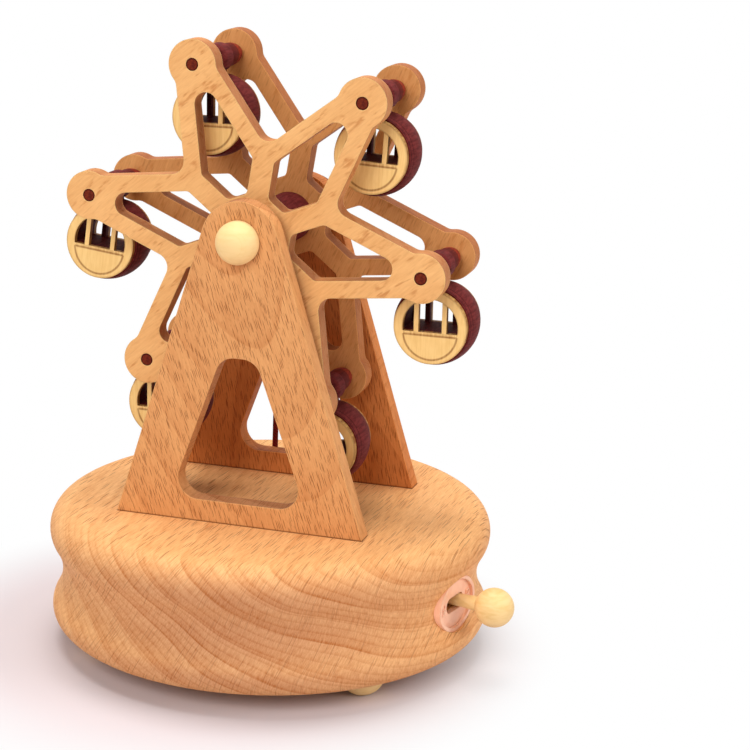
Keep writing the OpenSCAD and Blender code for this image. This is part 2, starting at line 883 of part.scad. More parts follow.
// Spool that keeps the two frames apart, with a hollow waist
module hub_spool()
{
    hub_dip = (hub_d - hub_waist_d) / 2;
    hub_rim_l = 3.4;
    hub_arc_l = frame_in - hub_rim_l;
    hub_arc_r = (hub_arc_l ^ 2 + hub_dip ^ 2) / (2 * hub_dip);
    color(dark_maroon)
        translate([0, 0, axle_z])
            along_y(0)
                rotate_extrude()
                    difference()
                    {
                        translate([axle_d / 2 + glue_fit, -frame_in])
                            square([(hub_d - axle_d) / 2 - glue_fit, frame_gap]);
                        translate([hub_waist_d / 2 + hub_arc_r, 0])
                            circle(hub_arc_r);
                    }
}

module wheel_axle()
{
    color(dark_maroon)
        translate([0, 0, axle_z])
            along_y(-stand_out - travel_gap - cap_edge_h)
                cylinder(d = axle_d, h = 2 * stand_out + 2 * travel_gap + cap_edge_h + pulley_w);
}

module axle_collars()
{
    color(pale_wood)
        translate([0, 0, axle_z])
            for (y = [-stand_in + travel_gap, frame_out])
                along_y(y)
                    difference()
                    {
                        cylinder(d = collar_d, h = stand_in - frame_out - travel_gap);
                        translate([0, 0, -cut_over])
                            cylinder(d = axle_d + 2 * glue_fit, h = stand_in);
                    }
}

// Domed cap on the front end of the axle
module front_cap()
{
    dome_h = cap_h - cap_edge_h;
    dome_r = ((cap_d / 2) ^ 2 + dome_h ^ 2) / (2 * dome_h);
    color(pale_wood)
        translate([0, 0, axle_z])
            along_y(-stand_out - travel_gap)
                mirror([0, 0, 1])
                    rotate_extrude()
                        difference()
                        {
                            intersection()
                            {
                                square([cap_d / 2, cap_h]);
                                translate([0, cap_h - dome_r])
                                    circle(dome_r);
                            }
                            translate([0, -cut_over])
                                square([axle_d / 2 + glue_fit, cap_edge_h + cut_over]);
                        }
}

// Outline of a grooved pulley rim, from its bore out to the flanges
module pulley_outline(belt_r, bore_d)
{
    difference()
    {
        translate([bore_d / 2 + glue_fit, -pulley_w / 2])
            square([belt_r + flange_h - bore_d / 2 - glue_fit, pulley_w]);
        translate([belt_r, 0])
            circle(d = belt_d + travel_gap);
        translate([belt_r, -belt_d / 2 - travel_gap / 2])
            square([2 * flange_h, belt_d + travel_gap]);
    }
}

module driven_pulley()
{
    boss_wall = 2;
    boss_d = axle_d + 2 * boss_wall;
    boss_l = belt_y - pulley_w / 2 - stand_out - travel_gap;
    color(maroon)
        translate([0, 0, axle_z])
        {
            along_y(belt_y)
                rotate_extrude()
                    pulley_outline(driven_r, axle_d);
            along_y(stand_out + travel_gap)
                difference()
                {
                    cylinder(d = boss_d, h = boss_l + cut_over);
                    translate([0, 0, -cut_over])
                        cylinder(d = axle_d + 2 * glue_fit, h = boss_l + 3 * cut_over);
                }
        }
}

// Round belt: an arc under the movement's pulley, an arc over the wheel's, and two straight runs
module drive_belt()
{
    run_step = 0.05;
    run_over = 0.3;
    color(dark_maroon)
        translate([0, belt_y, cylinder_z])
            rotate([90, 0, 0])
            {
                belt_arc(drive_r, 180 - belt_lean, 180 + 2 * belt_lean);
                translate([0, belt_span])
                    belt_arc(driven_r, belt_lean, 180 - 2 * belt_lean);
                for (s = [0, 1])
                    mirror([s, 0])
                        translate(drive_r * [cos(belt_lean), sin(belt_lean)])
                            rotate([-90, 0, belt_lean])
                                translate([0, 0, -run_over])
                                    cylinder(d = belt_d - run_step, h = belt_run + 2 * run_over);
            }
}

module belt_arc(r, start, sweep)
{
    rotate(start)
        rotate_extrude(angle = sweep)
            translate([r, 0])
                circle(d = belt_d);
}

module drive_pulley()
{
    color(pale_wood)
        translate([0, 0, cylinder_z])
            along_y(belt_y)
                rotate_extrude()
                    pulley_outline(drive_r, arbor_d);
}

// Bedplate with uprights for the cylinder and the governor, a block for the comb and screw bosses
module bedplate()
{
    comb_block_w = comb_root_x - comb_back_x - side_gap;
    color(zinc)
        difference()
        {
            union()
            {
                translate([0, 0, cover_top])
                    linear_extrude(bed_t)
                        bed_outline();
                bed_upright(0, front_upright_y, upright_w);
                bed_upright(0, rear_upright_y, upright_w);
                bed_upright(governor_x, rear_upright_y, upright_w / 2);
                bed_upright(governor_x, cylinder_y + cylinder_l - upright_t - 2 * side_gap,
                            upright_w / 2);
                translate([0, rear_upright_y, bed_top - cut_over])
                    cube([governor_x, upright_t, cylinder_axis_h / 3]);
                translate([comb_back_x, comb_y, bed_top - cut_over])
                    cube([comb_block_w, comb_w, comb_z - bed_top + cut_over]);
                for (p = bed_screw_spots)
                    translate([p.x, p.y, bed_top - cut_over])
                        cylinder(d = bed_boss_d, h = bed_boss_h + cut_over);
                fan_bracket();
            }
            for (p = bed_screw_spots)
                translate([p.x, p.y, cover_top - cut_over])
                    cylinder(d = screw_d + 2 * glue_fit, h = bed_t + bed_boss_h);
            for (y = comb_screw_ys)
                translate([comb_screw_x, y, bed_top])
                    cylinder(d = comb_screw_d + 2 * glue_fit, h = cavity_top);
            translate([0, barrel_y, cover_top - cut_over])
                cylinder(d = winding_d + 2 * running_fit, h = bed_t + 2 * cut_over);
            translate([fan_x, fan_y, bed_top - bed_t / 2])
                cylinder(d = governor_arbor_d + 2 * running_fit, h = cavity_top);
            translate([0, 0, cylinder_z])
                along_y(front_upright_y - cut_over)
                    cylinder(d = arbor_d + 2 * running_fit, h = stand_out);
            translate([governor_x, 0, cylinder_z])
                along_y(cylinder_y)
                    cylinder(d = governor_arbor_d + 2 * running_fit, h = stand_out);
        }
}

module bed_outline()
{
    bed_left = comb_back_x - side_gap;
    bed_right = fan_x + fan_post_shift.x + fan_post_d;
    bed_front = barrel_y - barrel_r - side_gap;
    bed_back = fan_y + fan_post_d;
    intersection()
    {
        circle(cavity_r - 2 * side_gap);
        translate([bed_left, bed_front])
            square([bed_right - bed_left, bed_back - bed_front]);
    }
}

// Upright with a round top that carries a bearing on the cylinder's level
module bed_upright(x, y0, w)
{
    translate([x, 0, cover_top])
        upright(y0, upright_t)
        {
            translate([-w / 2, bed_t - cut_over])
                square([w, cylinder_axis_h - bed_t + cut_over]);
            translate([0, cylinder_axis_h])
                circle(d = w);
        }
}

// Post and arm that hold the fan's upper pivot
module fan_bracket()
{
    arm_l = norm(fan_post_shift);
    translate([fan_x, fan_y, 0])
    {
        translate([fan_post_shift.x, fan_post_shift.y, bed_top - cut_over])
            cylinder(d = fan_post_d, h = fan_top + fan_arm_t - bed_top + cut_over);
        translate([0, 0, fan_top])
            linear_extrude(fan_arm_t)
                rotate(atan2(fan_post_shift.y, fan_post_shift.x))
                    translate([arm_l / 2, 0])
                        slot_outline(arm_l + fan_arm_w, fan_arm_w);
    }
}

module movement_screws()
{
    color(brass)
        for (p = bed_screw_spots)
            translate([p.x, p.y, base_z])
                screw(cover_t + bed_t + bed_boss_h - 2 * cut_over);
}

// Pinned cylinder: each note's row has its pins spread round by a steady turn
module music_cylinder()
{
    pins_per_note = 3;
    pin_d = 0.6;
    pin_turn = 137.5;
    color(brass)
        translate([0, 0, cylinder_z])
        {
            along_y(cylinder_y)
                difference()
                {
                    cylinder(d = cylinder_d, h = cylinder_l);
                    translate([0, 0, -cut_over])
                        cylinder(d = arbor_d + 2 * glue_fit, h = cylinder_l + 2 * cut_over);
                }
            for (row = [0:notes_n - 1], k = [0:pins_per_note - 1])
                translate([0, comb_y + (row + 0.5) * comb_pitch, 0])
                    rotate([0, (row * pins_per_note + k) * pin_turn, 0])
                        translate([0, 0, cylinder_d / 2 - cut_over])
                            cylinder(d = pin_d, h = tune_pin_h + cut_over);
        }
}

// Arbor of the cylinder, with the pinion that the crown wheel drives on its front end
module cylinder_arbor()
{
    color(steel)
        translate([0, 0, cylinder_z])
        {
            along_y(pinion_y)
                cylinder(d = arbor_d, h = belt_y + pulley_w / 2 - pinion_y);
            upright(pinion_y, pinion_w)
                rotate(-90)
                    gear_outline(pinion_n, pinion_tip_r, pinion_root_r);
        }
}

module cylinder_gear()
{
    pitch_r = gear_module * cylinder_gear_n / 2;
    color(brass)
        translate([0, 0, cylinder_z])
            upright(gear_y, gear_t)
                difference()
                {
                    gear_outline(cylinder_gear_n, pitch_r + gear_add, pitch_r - gear_ded);
                    circle(d = arbor_d + 2 * glue_fit);
                }
}

// Comb with one tooth for each note, cut from one plate
module music_comb()
{
    tooth_taper = 2.5;
    color(steel)
        difference()
        {
            translate([comb_back_x, comb_y, comb_z])
                cube([comb_tip_x - comb_back_x, comb_w, comb_t]);
            for (k = [1:notes_n - 1])
                translate([comb_root_x + tooth_taper * k / notes_n,
                           comb_y + k * comb_pitch - comb_slot / 2, comb_z - cut_over])
                    cube([-comb_root_x, comb_slot, comb_t + 2 * cut_over]);
            for (y = comb_screw_ys)
                translate([comb_screw_x, y, comb_z - cut_over])
                    cylinder(d = comb_screw_d + 2 * glue_fit, h = comb_t + 2 * cut_over);
        }
}

module comb_screws()
{
    color(steel)
        for (y = comb_screw_ys)
            translate([comb_screw_x, y, comb_z + comb_t])
                mirror([0, 0, 1])
                    screw(comb_z - bed_top, comb_screw_d, 2 * comb_screw_d, comb_screw_d / 2);
}

// Spring barrel, open below, with a crown wheel on its upper rim
module spring_barrel()
{
    tooth_h = crown_top - barrel_top;
    tooth_w = crown_r * sin(360 / crown_n / 2);
    color(brass)
        translate([0, barrel_y, 0])
        {
            difference()
            {
                translate([0, 0, bed_top + travel_gap])
                    cylinder(r = barrel_r, h = barrel_top - bed_top - travel_gap);
                translate([0, 0, bed_top])
                    cylinder(r = barrel_r - barrel_wall_t,
                             h = barrel_top - barrel_plate_t - bed_top);
                cylinder(d = winding_d + 2 * running_fit, h = cavity_top);
            }
            for (k = [0:crown_n - 1])
                rotate(90 + (k + 0.5) * 360 / crown_n)
                    translate([crown_r - crown_w / 2, 0, barrel_top - tooth_h / 2])
                        rotate([90, 0, 90])
                            linear_extrude(crown_w)
                                polygon([[-tooth_w / 2, 0], [tooth_w / 2, 0],
                                         [tooth_w / 4, 1.5 * tooth_h], [-tooth_w / 4, 1.5 * tooth_h]]);
        }
}

// Flat spring wound in a spiral from near the arbor out to the barrel's wall
module mainspring()
{
    turns = 5;
    steps = 20;
    strip_t = 0.4;
    first_r = winding_d / 2 + 2 * travel_gap;
    last_r = barrel_r - barrel_wall_t - strip_t - travel_gap / 3;
    spring_z = bed_top + 2 * travel_gap;
    spring_h = barrel_top - barrel_plate_t - travel_gap - spring_z;
    n = turns * steps;
    function spiral(i, out) = let (a = 360 * i / steps, r = first_r + (last_r - first_r) * i / n + out)
        r * [cos(a), sin(a)];
    color(steel)
        translate([0, barrel_y, spring_z])
            linear_extrude(spring_h)
                polygon(concat([for (i = [0:n]) spiral(i, 0)], [for (i = [n:-1:0]) spiral(i, strip_t)]));
}

// Winding arbor: a shaft in the barrel, with a fork below the cover for the folding key
module winding_arbor()
{
    color(steel)
        translate([0, barrel_y, 0])
            difference()
            {
                union()
                {
                    translate([0, 0, cover_top - travel_gap])
                        cylinder(d = winding_d, h = barrel_top - cover_top + travel_gap);
                    translate([0, 0, key_axis_z - knuckle_r])
                        cylinder(d = fork_d, h = cover_top - travel_gap - key_axis_z + knuckle_r);
                }
                translate([-knuckle_w / 2 - running_fit, -fork_d, -cut_over])
                    cube([knuckle_w + 2 * running_fit, 2 * fork_d, fork_slot_top + cut_over]);
                translate([-fork_d, 0, key_axis_z])
                    rotate([0, 90, 0])
                        cylinder(d = key_pin_d + 2 * glue_fit, h = 2 * fork_d);
            }
}

module key_pin()
{
    color(steel)
        translate([-fork_d / 2, barrel_y, key_axis_z])
            rotate([0, 90, 0])
                cylinder(d = key_pin_d, h = fork_d);
}

// Folding key: a knuckle, a neck and a pointed oval blade with a raised rim
module winding_key()
{
    color(brass)
        translate([0, barrel_y, key_axis_z])
            difference()
            {
                union()
                {
                    translate([-knuckle_w / 2, 0, 0])
                        rotate([0, 90, 0])
                            cylinder(r = knuckle_r, h = knuckle_w);
                    translate([-knuckle_w / 2, 0, -key_t / 2])
                        cube([knuckle_w, key_neck_l + key_l / 4, key_t]);
                    key_blade();
                }
                translate([-fork_d, 0, 0])
                    rotate([0, 90, 0])
                        cylinder(d = key_pin_d + 2 * running_fit, h = 2 * fork_d);
            }
}

module key_blade()
{
    translate([0, key_neck_l + key_l / 2, 0])
        difference()
        {
            translate([0, 0, -key_t / 2])
                linear_extrude(key_t)
                    leaf_outline(key_l, key_w);
            for (s = [0, 1])
                mirror([0, 0, s])
                    translate([0, 0, key_floor_t / 2])
                        linear_extrude(key_t)
                            leaf_outline(key_l - 4 * key_rim_w, key_w - 2 * key_rim_w);
        }
}

// A pointed oval where two equal circles cross, long axis along Y
module leaf_outline(l, w)
{
    r = (l ^ 2 + w ^ 2) / (4 * w);
    intersection_for(s = [-1, 1])
        translate([s * (r - w / 2), 0])
            circle(r);
}

// Governor's arbor with the pinion that the cylinder gear drives and the wheel that drives the worm
module governor_wheel()
{
    pitch_r = gear_module * governor_pinion_n / 2;
    start_y = cylinder_y + cylinder_l - upright_t - 2 * side_gap;
    color(brass)
        translate([governor_x, 0, cylinder_z])
        {
            along_y(start_y)
                cylinder(d = governor_arbor_d, h = governor_wheel_y + governor_wheel_t - start_y);
            upright(gear_y, gear_t)
                rotate(180 + 180 / governor_pinion_n)
                    gear_outline(governor_pinion_n, pitch_r + gear_add, pitch_r - gear_ded);
            upright(governor_wheel_y, governor_wheel_t)
                gear_outline(governor_wheel_n, governor_wheel_r, governor_wheel_r - 2 * gear_add);
        }
}

// Upright worm shaft with two vanes that brake on the air
module governor_fan()
{
    pivot_z = bed_top - bed_t / 2 + travel_gap;
    vane_z = fan_top - travel_gap - fan_vane_h;
    worm_z = cylinder_z - governor_wheel_r;
    color(steel)
        translate([fan_x, fan_y, 0])
        {
            translate([0, 0, pivot_z])
                cylinder(d = governor_arbor_d, h = fan_top + fan_arm_t - pivot_z);
            translate([0, 0, worm_z])
                cylinder(d = worm_d, h = vane_z - worm_z);
            translate([-fan_d / 2, -fan_vane_t / 2, vane_z])
                cube([fan_d, fan_vane_t, fan_vane_h]);
        }
}

// Places a piece that belongs to spindle k on that spindle's axis
module at_spindle(k)
{
    translate([spindle_spot(k).x, 0, axle_z + spindle_spot(k).y])
        children();
}

module spindle(k)
{
    color(dark_maroon)
        at_spindle(k)
            along_y(-frame_out)
                cylinder(d = spindle_d, h = 2 * frame_out);
}

// Two barrel-shaped beads that keep a gondola in the middle of its spindle
module spacers(k)
{
    bead_l = frame_in - eye_w / 2 - running_fit * 2;
    bead_arc_r = bead_curve * bead_l;
    color(bead_red)
        at_spindle(k)
            for (s = [-1, 1])
                along_y(s * (frame_in - bead_l / 2))
                    rotate_extrude()
                        difference()
                        {
                            intersection()
                            {
                                translate([0, -bead_l / 2])
                                    square([bead_d / 2, bead_l]);
                                translate([bead_d / 2 - bead_arc_r, 0])
                                    circle(bead_arc_r);
                            }
                            translate([0, -bead_l])
                                square([spindle_d / 2 + glue_fit, 2 * bead_l]);
                        }
}

// Window openings of a gondola face: the upper half inside the ring, less two posts
module face_windows()
{
    window_rim = face_r - face_ring_w;
    difference()
    {
        intersection()
        {
            circle(window_rim);
            translate([-face_r, -sill_drop])
                square([2 * face_r, face_r + sill_drop]);
        }
        for (s = [-1, 1])
            translate([s * post_pitch / 2 - post_w / 2, -face_r])
                square([post_w, 2 * face_r]);
    }
}

// Puts a gondola's own frame, with its middle at the origin, on spindle k
module at_gondola(k)
{
    at_spindle(k)
        rotate([0, gondola_swing[k - 1], 0])
            translate([0, 0, -gondola_drop])
                children();
}

// Barrel-shaped drum between its faces, with a hollow upper half, a rear wall with windows, a neck
// and an eye
module gondola_drum(k)
{
    color(maroon)
        at_gondola(k)
            difference()
            {
                union()
                {
                    along_y(0)
                        rotate_extrude()
                            intersection()
                            {
                                translate([0, -body_half])
                                    square([drum_d / 2, 2 * body_half]);
                                translate([drum_d / 2 - drum_arc_r, 0])
                                    circle(drum_arc_r);
                            }
                    translate([0, 0, drum_d / 2 - drum_wall_t])
                        cylinder(d = neck_d, h = gondola_drop - drum_d / 2 + drum_wall_t - spindle_d);
                    translate([0, 0, gondola_drop])
                        gondola_eye();
                }
                upright(-drum_half, drum_w - face_t - drum_wall_t)
                    intersection()
                    {
                        circle(d = drum_hollow_d);
                        translate([-face_r, -sill_drop])
                            square([2 * face_r, face_r + sill_drop]);
                    }
                upright(0, drum_w)
                    face_windows();
                translate([0, 0, gondola_drop])
                    along_y(-drum_w)
                        cylinder(d = spindle_d + 2 * running_fit, h = 2 * drum_w);
            }
}

// Ring with rounded edges that hangs on the spindle
module gondola_eye()
{
    along_y(0)
        rotate_extrude()
        {
            translate([0, -eye_w / 2])
                square([eye_d / 2 - eye_r, eye_w]);
            translate([0, -eye_w / 2 + eye_r])
                square([eye_d / 2, eye_w - 2 * eye_r]);
            for (s = [-1, 1])
                translate([eye_d / 2 - eye_r, s * (eye_w / 2 - eye_r)])
                    circle(eye_r);
        }
}

module gondola_faces(k)
{
    color(ply_wood)
        at_gondola(k)
            for (y = [-drum_half, drum_half - face_t])
                upright(y, face_t)
                    difference()
                    {
                        circle(face_r);
                        face_windows();
                    }
}

base_block();
bottom_cover();
cover_screws();
ball_feet();
front_stand();
rear_stand();
stand_dowels();
switch_plate();
switch_knob();
stop_lever();
front_wheel_frame();
rear_wheel_frame();
hub_spool();
wheel_axle();
axle_collars();
front_cap();
driven_pulley();
drive_belt();
drive_pulley();
bedplate();
movement_screws();
music_cylinder();
cylinder_arbor();
cylinder_gear();
music_comb();
comb_screws();
spring_barrel();
mainspring();
winding_arbor();
key_pin();
winding_key();
governor_wheel();
governor_fan();
spindle(1);  // spindle_1
spindle(2);  // spindle_2
spindle(3);  // spindle_3
spindle(4);  // spindle_4
spindle(5);  // spindle_5
spindle(6);  // spindle_6
spacers(1);  // spacers_1
spacers(2);  // spacers_2
spacers(3);  // spacers_3
spacers(4);  // spacers_4
spacers(5);  // spacers_5
spacers(6);  // spacers_6
gondola_drum(1);  // gondola_drum_1
gondola_drum(2);  // gondola_drum_2
gondola_drum(3);  // gondola_drum_3
gondola_drum(4);  // gondola_drum_4
gondola_drum(5);  // gondola_drum_5
gondola_drum(6);  // gondola_drum_6
gondola_faces(1);  // gondola_faces_1
gondola_faces(2);  // gondola_faces_2
gondola_faces(3);  // gondola_faces_3
gondola_faces(4);  // gondola_faces_4
gondola_faces(5);  // gondola_faces_5
gondola_faces(6);  // gondola_faces_6
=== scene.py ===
import json
import math

import bmesh
import bpy
from mathutils import Matrix, Vector


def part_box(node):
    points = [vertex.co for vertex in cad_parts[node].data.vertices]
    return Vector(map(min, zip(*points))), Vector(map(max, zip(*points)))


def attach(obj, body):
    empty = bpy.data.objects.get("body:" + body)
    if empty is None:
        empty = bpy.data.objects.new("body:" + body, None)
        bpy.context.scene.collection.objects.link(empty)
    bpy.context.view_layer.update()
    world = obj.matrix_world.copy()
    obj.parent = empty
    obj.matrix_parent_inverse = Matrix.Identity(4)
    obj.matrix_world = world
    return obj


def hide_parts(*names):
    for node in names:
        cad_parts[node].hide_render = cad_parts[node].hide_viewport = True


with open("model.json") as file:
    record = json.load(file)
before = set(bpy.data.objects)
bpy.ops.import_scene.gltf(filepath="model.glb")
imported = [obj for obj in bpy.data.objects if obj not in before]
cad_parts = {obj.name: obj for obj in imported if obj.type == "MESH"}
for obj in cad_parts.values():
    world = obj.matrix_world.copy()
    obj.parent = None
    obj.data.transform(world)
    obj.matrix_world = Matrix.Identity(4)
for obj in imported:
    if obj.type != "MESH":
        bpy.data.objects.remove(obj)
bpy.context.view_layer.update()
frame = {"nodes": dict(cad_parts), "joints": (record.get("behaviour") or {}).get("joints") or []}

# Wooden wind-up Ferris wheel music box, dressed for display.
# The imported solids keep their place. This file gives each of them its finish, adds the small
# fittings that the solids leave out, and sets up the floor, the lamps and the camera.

bl_info = {
    "name": "Ferris Wheel Music Box",
    "version": (1, 0, 0),
    "blender": (4, 5, 0),
    "location": "View3D > Sidebar > Music Box",
    "description": "Finishes, small fittings and stage for a wooden wind-up Ferris wheel",
    "category": "Object",
}

MM = 0.001
TURN = 2 * math.pi
GONDOLAS = range(1, 7)
AXLE = (0, 1, 0)
UP = (0, 0, 1)

# Specular levels. The surroundings are white, and a low level keeps their veil off the woods.
BEECH_SPECULAR = 0.10
BIRCH_SPECULAR = 0.15
STAIN_SPECULAR = 0.05
PLY_SPECULAR = 0.25
CORD_SPECULAR = 0.2
PLASTIC_SPECULAR = 0.4

# Depths of the finishes' relief
BEECH_RELIEF = 0.05 * MM
BIRCH_RELIEF = 0.04 * MM
STAIN_RELIEF = 0.06 * MM
METAL_RELIEF = 0.02 * MM
PLY_RELIEF = 0.08 * MM
CORD_RELIEF = 0.1 * MM
PLASTIC_RELIEF = 0.02 * MM

# Softened edges of the pieces that aren't sanded wood
METAL_EDGE = 0.2 * MM
PLY_EDGE = 0.15 * MM
CORD_EDGE = 0.1 * MM
PLASTIC_EDGE = 0.35 * MM

# Points closer than this are one, and edges above this angle stay sharp
WELD = 0.001 * MM
SHARP = math.radians(35)

# Head of a pan screw: its flat crown as a share of the radius, and its outline from there to the seat
# as shares of radius and height
CROWN_SHARE = 0.66
HEAD_OUTLINE = ((0.84, 0.06), (0.94, 0.20), (0.99, 0.42), (1.0, 0.68), (1.0, 1.0))
RECESS_FLOOR_SHARE = 0.7

# Shank of a pan screw: radius, shares of it at the thread's root and at the last ridge, and the
# places of root and ridge in each turn
SHANK_RADIUS = 1.2 * MM
ROOT_SHARE = 0.78
TIP_SHARE = 0.4
ROOT_AT = 0.45
RIDGE_AT = 0.9

# Ribs of the key: cross sections as shares of the reach, the steps round each of them, the power that
# makes the ends run out, and the width as a share of the pitch
RIB_SECTIONS = (-1.0, -0.92, -0.75, 0.0, 0.75, 0.92, 1.0)
RIB_STEPS = 6
RIB_POWER = 6
RIB_WIDTH_SHARE = 0.7

# Rounded edge of the raised letters, and the steps of their curves
LETTER_EDGE = 0.04 * MM
LETTER_STEPS = 6

# Diameter and place of each lamp in metres, and the point that all of them face
LAMPS = {
    "key": (0.70, (-0.12, 0.10, 1.05)),
    "fill": (0.60, (0.90, -0.04, 0.45)),
    "front": (0.70, (-0.10, -0.90, 0.62)),
}
LAMP_TARGET = Vector((0, 0, 0.07))

# Floor and camera: the floor's size and the camera's clipping in metres, its sensor in millimetres
FLOOR_SIZE = 6.0
CLIP_START = 0.01
CLIP_END = 50
SENSOR_MM = 36


def linear(r, g, b):
    """The linear colour of an 8-bit screen colour."""
    def channel(v):
        v = v / 255
        return v / 12.92 if v <= 0.04045 else ((v + 0.055) / 1.055) ** 2.4
    return tuple(channel(v) for v in (r, g, b))


def shaded(colour, factor):
    """A colour made darker or lighter by one factor."""
    return tuple(min(1.0, v * factor) for v in colour)


def tone(name, description, r, g, b):
    """A colour property with a screen colour as its default."""
    return bpy.props.FloatVectorProperty(
        name=name, description=description, subtype="COLOR", size=3, min=0, max=1,
        default=linear(r, g, b))


def length(name, description, mm):
    """A length property whose default is given in millimetres."""
    return bpy.props.FloatProperty(
        name=name, description=description, unit="LENGTH", subtype="DISTANCE", default=mm * MM)


def number(name, description, value, low, high):
    """A plain number property."""
    return bpy.props.FloatProperty(name=name, description=description, default=value, min=low, max=high)


def angle(name, description, degrees):
    """An angle property whose default is given in degrees."""
    return bpy.props.FloatProperty(
        name=name, description=description, subtype="ANGLE", default=math.radians(degrees))


class FinishSettings(bpy.types.PropertyGroup):
    """Colours of the woods, metals and plastic."""
    base_light: tone("Base light", "Early wood of the turned base", 250, 196, 134)
    base_dark: tone("Base dark", "Late wood of the turned base", 202, 124, 62)
    stand_light: tone("Stand light", "Early wood of the front stand", 238, 178, 116)
    stand_dark: tone("Stand dark", "Late wood of the front stand", 188, 114, 60)
    wheel_light: tone("Wheel light", "Early wood of the front wheel frame", 250, 198, 132)
    wheel_dark: tone("Wheel dark", "Late wood of the front wheel frame", 206, 138, 76)
    # Painted shade: the rear stand's beech is darker for the shade it stands in behind the front stand and
    # wheel
    rear_stand_shaded_light: tone("Rear stand light", "Early wood of the rear stand", 228, 148, 82)
    rear_stand_shaded_dark: tone("Rear stand dark", "Late wood of the rear stand", 168, 86, 36)
    # Painted shade: the rear wheel frame's beech is darker for the shade it hangs in behind the front frame
    rear_wheel_shaded_light: tone("Rear wheel light", "Early wood of the rear wheel frame", 232, 170, 106)
    rear_wheel_shaded_dark: tone("Rear wheel dark", "Late wood of the rear wheel frame", 182, 112, 58)
    wall: tone("Cut walls", "Tint of the wheel frames' cut walls", 206, 164, 138)
    smudge: tone("Smudges", "Blurred brown marks in the wheel frames", 190, 118, 60)
    end_grain: tone("End grain", "Tint of the beech where its fibres end", 210, 198, 212)
    fleck: tone("Flecks", "Short dark rays in the beech", 116, 50, 10)
    pale: tone("Pale wood", "Birch of the cap, knob and feet", 244, 210, 149)
    pale_dark: tone("Pale wood grain", "Grain lines in the birch", 230, 190, 118)
    ply: tone("Ply", "Thin ply of the gondola faces", 247, 208, 136)
    ply_dark: tone("Ply grain", "Grain lines in the ply", 230, 184, 108)
    burn: tone("Burnt edge", "Cut edges and burnt lines of the ply", 138, 84, 34)
    stain: tone("Maroon stain", "Stained gondola drums and hub", 118, 46, 44)
    stain_dark: tone("Dark stain", "Grain in the stained wood", 72, 20, 20)
    bead: tone("Red stain", "Rear half of each rear spacer bead", 150, 52, 34)
    # The dark red is partly the beads' own darker stain and partly painted shade on the front bead
    bead_dark_and_shade: tone("Dark red stain", "The rest of the spacer beads", 104, 36, 30)
    rod: tone("Rod stain", "Axle and spindles", 124, 48, 26)
    belt: tone("Belt", "Round drive belt", 140, 28, 18)
    plate: tone("Switch plate", "Moulded switch plate", 255, 202, 168)
    brass: tone("Brass", "Key, screws, cylinder and gears", 214, 170, 104)
    steel: tone("Steel", "Arbors, comb and lever", 190, 192, 196)
    zinc: tone("Zinc", "Cast bedplate", 150, 150, 154)


class GrainSettings(bpy.types.PropertyGroup):
    """Sizes of the wood's figure."""
    ring: length("Growth rings", "Distance between growth rings in the beech", 6.4)
    fleck_depth: length("Fleck depth", "Reach of a ray towards the pith", 7.0)
    edge: length("Softened edge", "Radius of the sanded edges", 0.5)


class FittingSettings(bpy.types.PropertyGroup):
    """Sizes of the small fittings."""
    letter_size: length("Letter size", "Size of the raised letters on the switch plate", 2.3)
    letter_relief: length("Letter relief", "Height of the raised letters", 0.32)
    rib_pitch: length("Rib pitch", "Distance between the ribs in the winding key's panel", 0.62)
    rib_height: length("Rib height", "Height of these ribs", 0.16)
    recess_length: length("Recess length", "Reach of a screw's cross recess from its middle", 1.25)
    recess_width: length("Recess width", "Width of the recess's arms", 0.66)
    recess_depth: length("Recess depth", "Depth of the recess", 0.75)
    thread_pitch: length("Thread pitch", "Distance between the ridges on a screw's shank", 0.9)


class StageSettings(bpy.types.PropertyGroup):
    """Camera, lamps and floor."""
    azimuth: angle("Azimuth", "Camera's turn round the object", 19.66)
    elevation: angle("Elevation", "Camera's height above the horizon", 14.89)
    roll: angle("Roll", "Camera's tilt in its own frame", 0.63)
    distance: length("Distance", "From the camera to its target", 536.24)
    target: length("Target height", "Height of the point the camera turns about", 72.61)
    offset: length("Target offset", "Shift of that point to the right", -0.54)
    lens: number("Lens", "Focal length in millimetres on a 36 mm sensor", 99.08, 10, 300)
    shift_x: number("Shift X", "Sideways shift of the frame", 0.14, -1, 1)
    shift_y: number("Shift Y", "Upward shift of the frame", -0.0067, -1, 1)
    key: number("Key lamp", "Power of the large lamp overhead, in watts", 9.2, 0, 200)
    fill: number("Fill lamp", "Power of the lamp at the right, in watts", 4.2, 0, 200)
    front: number("Front lamp", "Power of the lamp at the front, in watts", 6.8, 0, 200)
    ambient: number("Ambient", "Strength of the even light from all round", 0.24, 0, 5)
    # The paper's grey is painted shade that deepens the shadow near the object; it whitens away from the
    # middle below
    shadow_paper: tone("Paper", "The floor near the object", 212, 202, 204)
    shade_x: length("Shade X", "Middle of the shaded floor, to the right of the object", -14)
    shade_y: length("Shade Y", "Middle of the shaded floor, behind the object", -8)
    near: length("White from", "Distance from there at which the floor begins to whiten", 56)
    far: length("White by", "Distance from there at which the floor is plain white", 94)


